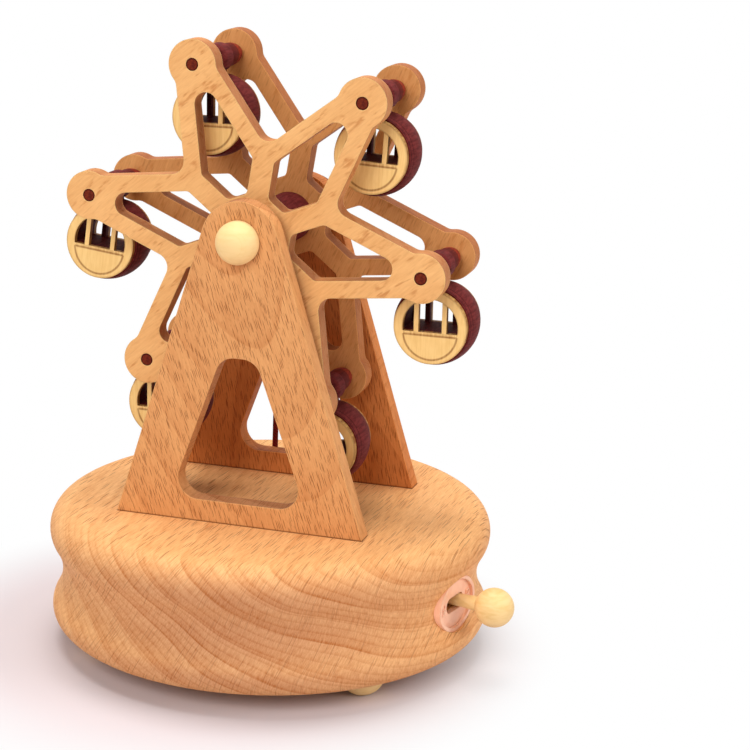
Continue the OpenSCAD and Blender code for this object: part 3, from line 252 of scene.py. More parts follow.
class Sock:
    """A socket of one node tree that takes part in Python expressions, each adding a Math node."""

    def __init__(self, nodes, out):
        self.nodes = nodes
        self.out = out

    def calc(self, operation, *others):
        inputs = dict(enumerate((self, *others)))
        return self.nodes.node("ShaderNodeMath", {"operation": operation}, inputs)

    def flipped(self, operation, other):
        return self.nodes.node("ShaderNodeMath", {"operation": operation}, {0: other, 1: self})

    def __add__(self, other):
        return self.calc("ADD", other)

    def __radd__(self, other):
        return self.flipped("ADD", other)

    def __sub__(self, other):
        return self.calc("SUBTRACT", other)

    def __rsub__(self, other):
        return self.flipped("SUBTRACT", other)

    def __mul__(self, other):
        return self.calc("MULTIPLY", other)

    def __rmul__(self, other):
        return self.flipped("MULTIPLY", other)

    def __abs__(self):
        return self.calc("ABSOLUTE")

    def sin(self):
        return self.calc("SINE")

    def root(self):
        return self.calc("SQRT")

    def part(self):
        """What is left after the whole number, from 0 to 1."""
        return self.calc("FRACT")

    def turn(self, other):
        """The angle whose sine goes with this socket and whose cosine goes with the other."""
        return self.calc("ARCTAN2", other)

    def most(self, other):
        """The larger of two values."""
        return self.calc("MAXIMUM", other)

    def rise(self, low, high):
        """0 below low, 1 above high and smooth between; low above high makes it fall."""
        return self.nodes.node("ShaderNodeMapRange", {"interpolation_type": "SMOOTHSTEP"},
                               {0: self, 1: low, 2: high, 3: 0.0, 4: 1.0})


class Nodes:
    """A node tree under construction."""

    def __init__(self, tree):
        self.tree = tree
        tree.nodes.clear()

    def node(self, kind, settings=None, inputs=None, output=0):
        """Adds a node: its settings first, then the values or links of its sockets."""
        made = self.tree.nodes.new(kind)
        for key, value in (settings or {}).items():
            setattr(made, key, value)
        for key, value in (inputs or {}).items():
            self.feed(made.inputs[key], value)
        return Sock(self, made.outputs[output]) if made.outputs else made

    def feed(self, socket, value):
        """Links a Sock to a socket, or sets a plain value on it."""
        if isinstance(value, Sock):
            self.tree.links.new(value.out, socket)
        elif socket.type == "RGBA" and len(value) == 3:
            socket.default_value = (*value, 1)
        else:
            socket.default_value = value

    def seen(self):
        """1 for a ray from the camera, a mirror or glass: all of these see a white background."""
        camera, glossy, clear = (self.node("ShaderNodeLightPath", output=f"Is {kind} Ray")
                                 for kind in ("Camera", "Glossy", "Transmission"))
        return camera.most(glossy).most(clear)


class Finish(Nodes):
    """A material under construction: its nodes and its shader."""

    def __init__(self, name):
        self.material = bpy.data.materials.new(name)
        self.material.use_nodes = True
        super().__init__(self.material.node_tree)
        self.shader = self.node("ShaderNodeBsdfPrincipled")
        self.end = self.node("ShaderNodeOutputMaterial", None, {"Surface": self.shader})

    def set(self, **values):
        """Feeds the shader's own sockets; a name's underscores stand for blanks."""
        for key, value in values.items():
            self.feed(self.shader.out.node.inputs[key.replace("_", " ")], value)
        return self.material

    def place(self):
        """The point on the piece in millimetres, in the frame that the piece moves with."""
        own = self.node("ShaderNodeTexCoord", output="Object")
        return self.node("ShaderNodeVectorMath", {"operation": "SCALE"}, {0: own, "Scale": 1 / MM})

    def facing(self, axis):
        """How squarely the surface faces along an axis of the piece, from -1 to 1."""
        return self.dot(self.node("ShaderNodeTexCoord", output="Normal"), axis)

    def dot(self, a, b):
        return self.node("ShaderNodeVectorMath", {"operation": "DOT_PRODUCT"}, {0: a, 1: b}, 1)

    def split(self, spot, *axes):
        """The coordinates of a point along some axes."""
        return tuple(self.dot(spot, axis) for axis in axes)

    def shift(self, a, b):
        """The way from one point to another."""
        return self.node("ShaderNodeVectorMath", {"operation": "SUBTRACT"}, {0: a, 1: b})

    def join(self, x, y, z):
        return self.node("ShaderNodeCombineXYZ", None, {0: x, 1: y, 2: z})

    def noise(self, vector, scale=1.0, detail=2.0, rough=0.5, warp=0.0):
        return self.node("ShaderNodeTexNoise", None, {
            "Vector": vector, "Scale": scale, "Detail": detail, "Roughness": rough, "Distortion": warp})

    def cells(self, vector, dimensions="3D"):
        """Distance to the nearest of randomly placed points, one in each unit cell."""
        settings = {"feature": "F1", "voronoi_dimensions": dimensions}
        return self.node("ShaderNodeTexVoronoi", settings, {"Vector": vector, "Scale": 1.0})

    def mix(self, factor, a, b, blend="MIX"):
        """A blend of two colours."""
        settings = {"data_type": "RGBA", "blend_type": blend}
        return self.node("ShaderNodeMix", settings, {0: factor, 6: a, 7: b}, 2)

    def soft_edge(self, radius):
        """The surface's direction with its edges rounded."""
        return self.node("ShaderNodeBevel", {"samples": 4}, {"Radius": radius})

    def edge_mask(self, soft):
        """1 along sharp edges, 0 on open faces."""
        return self.dot(soft, self.node("ShaderNodeNewGeometry", output="Normal")).rise(0.985, 0.80)

    def relief(self, height, depth, strength, soft):
        """Feeds a bump of the given depth in metres to the shader, over softened edges."""
        self.set(Normal=self.node("ShaderNodeBump", None, {
            "Strength": strength, "Distance": depth, "Height": height, "Normal": soft}))


class Log:
    """The trunk that a piece was cut from: its pith, its grain and the way out to the piece."""

    def __init__(self, grain, pith, centre):
        self.pith = Vector(pith)
        self.along = Vector(grain).normalized()
        reach = Vector(centre) - self.pith
        reach -= self.along * reach.dot(self.along)
        self.reach = reach.length
        self.out = reach.normalized()
        self.side = self.along.cross(self.out)


def grain_axes(axis):
    """A direction and two others square to it and to each other."""
    along = Vector(axis).normalized()
    helper = Vector(UP) if abs(along.z) < 0.8 else Vector((1, 0, 0))
    across = helper.cross(along).normalized()
    return along, across, along.cross(across)


def growth(fin, spot, log, ring_mm, lines):
    """Growth rings from 0 in early wood to 1 in late wood, each ended by a thin dark line."""
    wander_mm, wander_round, wander_along = 16.0, 0.014, 0.004
    uneven_pace, uneven_broad, uneven_fine, wander_fine = 0.22, 2.4, 1.5, 2.0
    fine_rings, band_share, edge_share = 3.3, 0.5, 0.3
    o, s, g = fin.split(spot, log.out, log.side, log.along)
    wander = fin.noise(fin.join(o * wander_round, s * wander_round, g * wander_along)) - 0.5
    radius = (o * o + s * s).root() + wander * wander_mm
    uneven = fin.noise(fin.join(radius * (uneven_pace / ring_mm), 0.0, 0.0), 1.0, 1.0)
    broad = (radius * (1 / ring_mm) + uneven * uneven_broad).part()
    fine = (radius * (fine_rings / ring_mm) + uneven * uneven_fine + wander * wander_fine).part()
    drop = broad.rise(1.0, 0.975)
    band = broad.rise(0.10, 0.95) * drop * band_share + broad.rise(0.86, 0.95) * drop * edge_share
    return band + fine.rise(0.55, 0.92) * fine.rise(1.0, 0.94) * lines


def beech(name, light, dark, log, rays, sizes, dash=(2.4, 0.19), thick=0.285, flecks=0.6, rings=0.5,
          lines=0.4, mottle=0.3, fibres=1.2, smudges=0.0, walls=0.0, sawn=False, shadow_line_at=None):
    """Beech cut from the solid: growth rings round the pith, dark ray flecks, fibres, and sanded edges
    lightened partly by painted highlight.

    A fleck is as long and wide as its dash, in millimetres, and thick is its radius in a unit cell.
    A sawn board shows its flecks evenly over its faces; a turned piece cuts them at every depth.
    The shadow line is the height, in millimetres, at which a piece meets the one below it; a painted shadow
    darkens the wood in the half millimetre above it.
    """
    fin = Finish(name)
    cols = bpy.context.scene.box_finish
    place = fin.place()
    spot = fin.shift(place, rays.pith)
    o, s, g = fin.split(spot, rays.out, rays.side, rays.along)
    depth = (o * o + s * s).root()
    arc = s.turn(o) * rays.reach
    end = abs(fin.facing(log.along))

    # Early and late wood, with fibres and cloudy patches
    ring = growth(fin, fin.shift(place, log.pith), log, sizes.ring / MM, lines)
    fibre = fin.noise(fin.join(depth * 0.7, arc * 3.2, g * 0.22), 1.0, 3.0, 0.62)
    patch = fin.noise(fin.join(o * 0.10, s * 0.10, g * 0.045), 1.0, 2.0, 0.55, 0.6)
    figure = (ring - 0.3) * (end * 0.7 + 0.3) * rings
    shade = figure + (fibre - 0.5) * fibres + (patch - 0.5) * mottle + 0.40
    wood = fin.mix(shade, light, dark)
    wood = fin.mix(end * end * 0.85, wood, cols.end_grain, "MULTIPLY")
    if smudges:
        smear = fin.noise(fin.join(o * 0.5, s * 0.62, g * 0.17), 1.0, 2.0, 0.5, 0.5).rise(0.50, 0.72)
        smear = smear * fin.noise(fin.join(o * 1.1, s * 1.6, g * 0.35), 1.0, 2.0).rise(0.36, 0.62)
        wood = fin.mix(smear * smudges, wood, cols.smudge)

    # Flecks, which are short lines on the faces that the rays meet, and small pores
    long, wide = dash
    across, along = arc * (2 * thick / wide), g * (2 * thick / long)
    if sawn:
        cell = fin.cells(fin.join(across, along, 0.0), "2D")
    else:
        cell = fin.cells(fin.join(depth * (2 * thick * MM / sizes.fleck_depth), across, along))
    ray = cell.rise(thick * 1.12, thick * 0.72) * patch.rise(0.0, 0.5)
    pore = fin.cells(fin.join(o * 2.6, s * 2.6, g * 0.6)).rise(0.30, 0.12)
    wood = fin.mix(pore * (0.24 * flecks), wood, cols.fleck)
    edgewise = fin.facing(rays.side)
    shown = (1 - end * 0.6) * (1 - edgewise * edgewise * 0.85)
    wood = fin.mix(ray * shown * flecks, wood, cols.fleck)

    # Cut walls; sanded edges, lighter partly as wear and partly as painted highlight; and a painted shadow
    # line where the piece meets the one below it
    if walls:
        wood = fin.mix(abs(fin.facing(AXLE)).rise(0.7, 0.3) * walls, wood, cols.wall, "MULTIPLY")
    soft = fin.soft_edge(sizes.edge)
    # Painted highlight with some sanded wear: the edges are lighter than the faces
    wood = fin.mix(fin.edge_mask(soft) * 0.8, wood, shaded(light, 1.25))
    # Painted shadow: a dark line at the foot, where the piece meets the one below it
    if shadow_line_at is not None:
        contact_shadow = fin.dot(place, UP).rise(shadow_line_at + 0.5, shadow_line_at + 0.1)
        wood = fin.mix(contact_shadow * 0.7, wood, shaded(cols.fleck, 0.5))
    fin.set(Base_Color=wood, Roughness=0.52 + fibre * 0.10 + ray * 0.12)
    fin.relief(fibre * 0.4 - ray * 0.7 - pore * 0.3, BEECH_RELIEF, 0.5, soft)
    return fin.set(Specular_IOR_Level=BEECH_SPECULAR)


def birch(name, centre, axis, sizes, lathe=1.0, grain_share=0.5):
    """Pale turned birch: faint grain and turning rings round its axis."""
    fin = Finish(name)
    cols = bpy.context.scene.box_finish
    along, across, up = grain_axes(axis)
    a, b, g = fin.split(fin.shift(fin.place(), centre), across, up, along)
    turn = (a * a + b * b).root()
    grain = fin.noise(fin.join(a * 0.22, b * 0.9, g * 0.3), 1.0, 2.0, 0.55, 0.4)
    lines = fin.noise(fin.join(turn * 2.2, g * 2.2, 0.0), 1.0, 2.0)
    wood = fin.mix(grain.rise(0.35, 0.80) * grain_share, cols.pale, cols.pale_dark)
    wood = fin.mix(lines.rise(0.56, 0.80) * 0.22 * lathe, wood, cols.pale_dark)
    fin.set(Base_Color=wood, Roughness=0.40 + grain * 0.12)
    fin.relief(lines * lathe + grain * 0.3, BIRCH_RELIEF, 0.4, fin.soft_edge(sizes.edge))
    return fin.set(Specular_IOR_Level=BIRCH_SPECULAR)


def stained(name, colour, deep, centre, sizes, rough=0.55, behind=None, change=0.0, rim=0.0,
            ends=0.0, grooves=()):
    """Stained wood turned about the axle's direction: uneven stain and lathe marks.

    Distances are in millimetres from the centre. Behind the change the colour is another one. Painted shade
    darkens the wood near the radius of the rim, for the gap round a spindle's end, and at its inner ends,
    where a bead meets the gondola's eye; grooves run round it as dark lines.
    """
    fin = Finish(name)
    along, across, up = grain_axes(AXLE)
    a, b, g = fin.split(fin.shift(fin.place(), centre), across, up, along)
    turn = (a * a + b * b).root()
    streak = fin.noise(fin.join(a * 1.4, b * 1.4, g * 0.28), 1.0, 3.0, 0.65)
    lathe = fin.noise(fin.join(g * 2.6, turn * 2.6, 0.0), 1.0, 2.0, 0.6)
    speck = fin.cells(fin.join(a * 1.6, b * 1.6, g)).rise(0.24, 0.08)
    body = fin.mix(g.rise(change - 0.4, change + 0.4), colour, behind) if behind else colour
    wood = fin.mix(streak.rise(0.72, 0.30) * 0.8, body, deep)
    wood = fin.mix(lathe.rise(0.56, 0.78) * 0.40, wood, deep)
    wood = fin.mix(speck * 0.16, wood, shaded(colour, 2.0))
    soft = fin.soft_edge(sizes.edge * 0.7)
    # Painted shade: dark towards the rim's radius, for the gap round a spindle's end
    if rim:
        wood = fin.mix(turn.rise(0.70 * rim, 0.95 * rim) * 0.8, wood, shaded(deep, 0.4))
    # Painted shade: dark at the inner ends, where a bead meets the gondola's eye
    if ends:
        wood = fin.mix(abs(g).rise(ends + 0.8, ends + 0.1) * 0.85, wood, shaded(deep, 0.3))
    for groove in grooves:
        wood = fin.mix(abs(abs(g) - groove).rise(0.24, 0.06) * 0.6, wood, shaded(deep, 0.4))
    # Painted highlight with some wear: the edges are lighter than the faces
    wood = fin.mix(fin.edge_mask(soft) * 0.35, wood, shaded(colour, 1.8))
    fin.set(Base_Color=wood, Roughness=rough + lathe * 0.14)
    fin.relief(lathe * 0.7 + streak * 0.5, STAIN_RELIEF, 0.5, soft)
    return fin.set(Specular_IOR_Level=STAIN_SPECULAR)


def metal(name, colour, axis=UP, rough=0.26, brush=1.0):
    """Drawn or turned metal with fine brushing and a little tarnish."""
    fin = Finish(name)
    along, across, up = grain_axes(axis)
    spot = fin.place()
    a, b, g = fin.split(spot, across, up, along)
    line = fin.noise(fin.join(a * 0.4, b * 0.4, g * 9.0), 1.0, 3.0, 0.7)
    dull = fin.noise(spot, 0.35, 3.0, 0.6)
    tint = fin.mix(dull.rise(0.42, 0.72) * 0.5, colour, shaded(colour, 0.62))
    fin.set(Base_Color=tint, Roughness=rough + (line - 0.5) * 0.20 * brush + dull * 0.12)
    fin.relief(line * brush + dull * 0.4, METAL_RELIEF, 0.4, fin.soft_edge(METAL_EDGE))
    return fin.set(Metallic=1.0)


def face_finish(k):
    """Ply of one gondola's faces: fine upright grain, burnt cut edges and the burnt line of its door."""
    outer, window, sill = 9.4, 7.1, -1.3
    door_r, door_low, door_top = 6.9, -1.4, -2.1
    line_mm, scorch_share = (0.42, 0.08), 0.42
    fin = Finish(f"ply_face_{k}")
    cols = bpy.context.scene.box_finish
    centre, swing = gondola_centre(k)
    right = (math.cos(swing), 0, -math.sin(swing))
    upright = (math.sin(swing), 0, math.cos(swing))
    u, w = fin.split(fin.shift(fin.place(), centre), right, upright)
    radius = (u * u + w * w).root()
    front = abs(fin.facing(AXLE)).rise(0.55, 0.80)
    grain = fin.noise(fin.join(u * 1.7, w * 0.14, 3.0 * k), 1.0, 3.0, 0.6)
    cloud = fin.noise(fin.join(u * 0.2, w * 0.2, 5.0 * k))
    ply = fin.mix(grain.rise(0.35, 0.75) * 0.6, cols.ply, cols.ply_dark)
    ply = fin.mix(cloud.rise(0.45, 0.75) * 0.35, ply, cols.ply_dark)

    # The door's bow and its straight head, the strip under the sill, and scorched edges
    door = (u * u + (w - door_low) * (w - door_low)).root()
    bow = abs(door - door_r).rise(*line_mm) * w.rise(door_top + 0.15, door_top)
    head = abs(w - door_top).rise(*line_mm) * abs(u).rise(door_r, door_r - 0.1)
    line = bow.most(head) * front
    strip = w.rise(door_top - 0.2, door_top + 0.2) * w.rise(sill + 0.1, sill - 0.1)
    strip = strip * radius.rise(window + 0.2, window)
    inner = abs(radius - window).rise(0.40, 0.02) * w.rise(sill - 0.1, sill + 0.2) * scorch_share
    scorch = (abs(radius - outer).rise(0.55, 0.05) * scorch_share).most(inner)
    ply = fin.mix(scorch * (cloud * 0.7 + 0.6) * front, ply, cols.burn)
    ply = fin.mix(strip * grain.rise(0.3, 0.7) * 0.35 * front, ply, cols.burn)
    ply = fin.mix(line * (grain * 0.8 + 0.3), ply, cols.burn)
    cut = fin.mix(grain.rise(0.3, 0.8) * 0.8, cols.burn, cols.ply_dark)
    fin.set(Base_Color=fin.mix(front, cut, ply), Roughness=grain * 0.12 + line * 0.2 + 0.52)
    fin.relief(grain * 0.25 - line, PLY_RELIEF, 0.5, fin.soft_edge(PLY_EDGE))
    return fin.set(Specular_IOR_Level=PLY_SPECULAR)


def belt_finish():
    """Twisted dark cord: two strands show as slanting ridges."""
    strand_mm = 0.9
    fin = Finish("belt_cord")
    colour = bpy.context.scene.box_finish.belt
    spot = fin.place()
    slant = fin.dot(spot, (0.6, 1.1, 1.0))
    twist = (slant * (TURN / strand_mm)).sin() * 0.5 + 0.5
    fuzz = fin.noise(spot, 2.4, 3.0)
    tint = fin.mix(twist * 0.6 + fuzz * 0.3, shaded(colour, 0.35), colour)
    fin.set(Base_Color=tint, Roughness=fuzz * 0.2 + 0.66)
    fin.relief(twist + fuzz * 0.3, CORD_RELIEF, 0.7, fin.soft_edge(CORD_EDGE))
    return fin.set(Specular_IOR_Level=CORD_SPECULAR)


def plate_finish():
    """Moulded plastic with faint flow marks, a satin skin and a painted highlight along its edges."""
    fin = Finish("moulded_plate")
    colour = bpy.context.scene.box_finish.plate
    warmer = tuple(v * share for v, share in zip(colour, (0.95, 0.86, 0.82)))
    spot = fin.place()
    flow = fin.noise(spot, 0.25, 2.0, 0.5, 1.2)
    satin = fin.noise(spot, 6.0)
    soft = fin.soft_edge(PLASTIC_EDGE)
    tint = fin.mix(flow.rise(0.35, 0.75), colour, warmer)
    # Painted highlight: the edges are lighter than the faces
    tint = fin.mix(fin.edge_mask(soft) * 0.5, tint, shaded(colour, 1.15))
    fin.set(Base_Color=tint, Roughness=satin * 0.14 + 0.36)
    fin.relief(satin, PLASTIC_RELIEF, 0.5, soft)
    return fin.set(Specular_IOR_Level=PLASTIC_SPECULAR)


def middle(node):
    """Middle of a node in millimetres."""
    low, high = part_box(node)
    return tuple((low + high) / 2 / MM)


def joint_point(name):
    """A joint's own point in millimetres."""
    return next(Vector(j["pos_m"]) / MM for j in frame["joints"] if j["name"] == name)


def gondola_centre(k):
    """Middle of a gondola's faces in millimetres, and the angle at which it hangs."""
    centre = Vector(middle(f"gondola_faces_{k}"))
    hang = joint_point(f"gondola_{k}_hang") - centre
    return tuple(centre), math.atan2(hang.x, hang.z)


def solids_of(node):
    """The box of each separate solid of a node, in metres."""
    form = bmesh.new()
    form.from_mesh(frame["nodes"][node].data)
    bmesh.ops.remove_doubles(form, verts=form.verts, dist=WELD)
    left = set(form.verts)
    boxes = []
    while left:
        heap = [left.pop()]
        found = []
        while heap:
            vert = heap.pop()
            found.append(vert.co.copy())
            near = {edge.other_vert(vert) for edge in vert.link_edges} & left
            left -= near
            heap.extend(near)
        boxes.append((Vector(map(min, zip(*found))), Vector(map(max, zip(*found)))))
    form.free()
    return boxes


def dress(material, *nodes):
    """Gives the named nodes one finish."""
    for name in nodes:
        obj = frame["nodes"][name]
        obj.data.materials.clear()
        obj.data.materials.append(material)


def piece(name, form, material, body, slot, *replaced):
    """Turns a form, in metres, into a piece that rides on a body and may stand for some nodes."""
    bmesh.ops.recalc_face_normals(form, faces=form.faces)
    mesh = bpy.data.meshes.new(name)
    form.to_mesh(mesh)
    form.free()
    mesh.shade_smooth()
    mesh.set_sharp_from_angle(angle=SHARP)
    mesh.materials.append(material)
    obj = bpy.data.objects.new(name, mesh)
    bpy.context.scene.collection.objects.link(obj)
    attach(obj, body)
    if replaced:
        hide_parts(*replaced)


def circle(form, centre, radius, z, count=40):
    """A level ring of points."""
    return [form.verts.new((centre.x + radius * math.cos(TURN * i / count),
                            centre.y + radius * math.sin(TURN * i / count), z)) for i in range(count)]


def skin(form, lower, upper):
    """A band of faces between two rings with as many points each."""
    for i, point in enumerate(lower):
        j = (i + 1) % len(lower)
        form.faces.new((point, lower[j], upper[j], upper[i]))


def cross_points(reach, half):
    """The twelve corners of a cross with arms of equal length."""
    points = []
    for k in range(4):
        c, s = round(math.cos(k * TURN / 4)), round(math.sin(k * TURN / 4))
        corners = (reach, -half), (reach, half), (half, half)
        points += [(x * c - y * s, x * s + y * c) for x, y in corners]
    return points


def pan_screw(form, low, high, seat, fittings):
    """A screw whose head hangs below its seat: domed head with a cross recess, ridged shank and tip."""
    centre = (low + high) / 2
    rim = (high.x - low.x) / 2
    head, shank = seat - low.z, high.z - seat
    turns = int(shank / fittings.thread_pitch)
    outline = [(rim * share, low.z + head * rise) for share, rise in HEAD_OUTLINE]
    outline.append((SHANK_RADIUS, seat))
    for i in range(turns):
        ridge = 1.0 if i < turns - 1 else TIP_SHARE
        outline.append((SHANK_RADIUS * ROOT_SHARE, seat + shank * (i + ROOT_AT) / turns))
        outline.append((SHANK_RADIUS * ridge, seat + shank * (i + RIDGE_AT) / turns))
    crown = circle(form, centre, rim * CROWN_SHARE, low.z)
    ring = crown
    for radius, z in outline:
        following = circle(form, centre, radius, z)
        skin(form, ring, following)
        ring = following
    tip = form.verts.new((centre.x, centre.y, high.z))
    for i, point in enumerate(ring):
        form.faces.new((point, ring[(i + 1) % len(ring)], tip))
    cross = cross_points(fittings.recess_length, fittings.recess_width / 2)
    mouth = recess_ring(form, centre, cross, 1.0, low.z)
    floor = recess_ring(form, centre, cross, RECESS_FLOOR_SHARE, low.z + fittings.recess_depth)
    skin(form, mouth, floor)
    form.faces.new(floor)
    edges = [form.edges.get((point, loop[(i + 1) % len(loop)]))
             for loop in (crown, mouth) for i, point in enumerate(loop)]
    bmesh.ops.triangle_fill(form, use_beauty=True, edges=edges)


def recess_ring(form, centre, cross, share, z):
    """The corners of a cross recess at one level, drawn in to a share of their size."""
    return [form.verts.new((centre.x + share * x, centre.y + share * y, z)) for x, y in cross]


def rib(form, x, reach, base, top, width, middle_y):
    """A low rounded rib along Y that runs out at both ends."""
    turns = [math.pi * i / RIB_STEPS for i in range(RIB_STEPS + 1)]
    rows = []
    for share in RIB_SECTIONS:
        rise = (top - base) * math.sqrt(max(0.0, 1 - abs(share) ** RIB_POWER))
        y = middle_y + reach * share
        rows.append([form.verts.new((x + width / 2 * math.cos(t), y, base + rise * math.sin(t)))
                     for t in turns])
    for row, following in zip(rows, rows[1:]):
        for i in range(RIB_STEPS):
            form.faces.new((row[i], row[i + 1], following[i + 1], following[i]))


def settings():
    """The scene's colours and its sizes of the wood's figure."""
    scene = bpy.context.scene
    return scene.box_finish, scene.box_grain


class BOX_OT_base(bpy.types.Operator):
    """Finish the turned base, its bottom cover and the ball feet, and put in the cover's screws"""
    bl_idname = "music_box.base"
    bl_label = "Base, Cover and Feet"

    def execute(self, context):
        cols, sizes = settings()
        pith = (76, 0, 156)
        log = Log((-0.17, 0.985, 0.03), pith, middle("base_block"))
        rays = Log((0.04, 1.0, 0.0), pith, middle("base_block"))
        dress(beech("base_beech", cols.base_light, cols.base_dark, log, rays, sizes, dash=(6.0, 0.23),
                    thick=0.28, flecks=0.68, rings=0.5, lines=0.45), "base_block")
        log = Log((0.97, 0.24, 0.0), (20, 40, 190), middle("bottom_cover"))
        dress(beech("cover_beech", cols.base_light, cols.base_dark, log, log, sizes, dash=(4.6, 0.26),
                    flecks=0.6), "bottom_cover")
        dress(birch("feet_birch", (0, 0, 0), (0.3, 1, 0.2), sizes, lathe=0.4), "ball_feet")
        brass = metal("screw_brass", cols.brass, UP, 0.24)
        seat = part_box("bottom_cover")[0].z
        screws = {"cover_pan_screws": "cover_screws", "bedplate_pan_screws": "movement_screws"}
        for name, node in screws.items():
            form = bmesh.new()
            for low, high in solids_of(node):
                pan_screw(form, low, high, seat, context.scene.box_fittings)
            piece(name, form, brass, "stand_base", "brass", node)
        return {"FINISHED"}


class BOX_OT_stands(bpy.types.Operator):
    """Finish the two A-shaped stands and their dowels"""
    bl_idname = "music_box.stands"
    bl_label = "Stands"

    def execute(self, context):
        cols, sizes = settings()
        self.board("front_stand", cols.stand_light, cols.stand_dark,
                   grain=(-0.30, -0.28, 0.91), pith=(2, 0, 90), far=(-20, 300, 70))
        # The rear stand's colours carry painted shade
        self.board("rear_stand", cols.rear_stand_shaded_light, cols.rear_stand_shaded_dark,
                   grain=(-0.16, 0.20, 0.97), pith=(8, 60, 70), far=(20, 320, 70))
        dress(birch("dowel_birch", (0, 0, 0), UP, sizes), "stand_dowels")
        return {"FINISHED"}

    def board(self, node, light, dark, grain, pith, far):
        """Finishes one sawn stand: rings round a near pith, flecks that run to a far one, and a painted
        shadow line at its foot.
        """
        _, sizes = settings()
        centre = middle(node)
        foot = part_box(node)[0].z / MM
        log = Log(grain, pith, centre)
        rays = Log((grain[0], 0, grain[2]), far, centre)
        dress(beech(node + "_beech", light, dark, log, rays, sizes, dash=(2.8, 0.14), thick=0.19,
                    flecks=0.95, rings=0.55, lines=0.1, fibres=0.8, sawn=True, shadow_line_at=foot), node)


class BOX_OT_wheel(bpy.types.Operator):
    """Finish the wheel frames, hub, axle, cap, spindles and beads"""
    bl_idname = "music_box.wheel"
    bl_label = "Wheel"

    def execute(self, context):
        cols, sizes = settings()
        self.frame_board("front_wheel_frame", cols.wheel_light, cols.wheel_dark,
                         grain=(0.80, 0.05, 0.60), pith=(-60, -160, 240), flecks=0.10)
        # The rear frame's colours carry painted shade
        self.frame_board("rear_wheel_frame", cols.rear_wheel_shaded_light, cols.rear_wheel_shaded_dark,
                         grain=(0.42, 0.05, 0.90), pith=(120, 190, 90), flecks=0.30)
        axle = joint_point("wheel_spin")
        dress(stained("hub_stain", cols.stain, cols.stain_dark, axle, sizes), "hub_spool")
        dress(stained("axle_stain", cols.rod, cols.stain_dark, axle, sizes), "wheel_axle")
        dress(stained("pulley_stain", cols.stain, cols.stain_dark, axle, sizes), "driven_pulley")
        dress(birch("cap_birch", axle, AXLE, sizes, lathe=2.0, grain_share=0.3), "front_cap")
        dress(birch("collar_birch", axle, AXLE, sizes), "axle_collars")
        for k in GONDOLAS:
            self.spindle(k, joint_point(f"gondola_{k}_hang"))
        return {"FINISHED"}

    def frame_board(self, node, light, dark, grain, pith, flecks):
        """Finishes one wheel frame: smudged faces and darker cut walls."""
        _, sizes = settings()
        log = Log(grain, pith, middle(node))
        dress(beech(node + "_beech", light, dark, log, log, sizes, dash=(2.4, 0.3), flecks=flecks,
                    rings=0.3, mottle=0.5, fibres=0.6, smudges=0.7, walls=0.6), node)

    def spindle(self, k, hang):
        """Finishes a spindle and its two beads, which have a groove in the middle."""
        cols, sizes = settings()
        # Painted shade: the spindle darkens towards this radius, for the gap round its end
        gap_shadow_mm = 1.6
        dress(stained(f"rod_stain_{k}", cols.rod, cols.stain_dark, hang, sizes, rim=gap_shadow_mm), f"spindle_{k}")
        ends = [abs(p.y) / MM for box in solids_of(f"spacers_{k}") for p in box]
        groove = (min(ends) + max(ends)) / 2
        # Painted shade in part: the front bead is dark for the shadow it sits in; the rear bead's inner
        # half is its own darker stain
        dress(stained(f"bead_stain_{k}", cols.bead_dark_and_shade, cols.stain_dark, hang, sizes, rough=0.40,
                      behind=cols.bead, change=groove, ends=min(ends), grooves=(groove,)), f"spacers_{k}")


class BOX_OT_gondolas(bpy.types.Operator):
    """Finish the gondola drums and their ply faces"""
    bl_idname = "music_box.gondolas"
    bl_label = "Gondolas"

    def execute(self, context):
        cols, sizes = settings()
        grooves_mm = (3.6, 4.9)
        for k in GONDOLAS:
            centre, _ = gondola_centre(k)
            dress(stained(f"drum_stain_{k}", cols.stain, cols.stain_dark, centre, sizes,
                          grooves=grooves_mm), f"gondola_drum_{k}")
            dress(face_finish(k), f"gondola_faces_{k}")
        return {"FINISHED"}


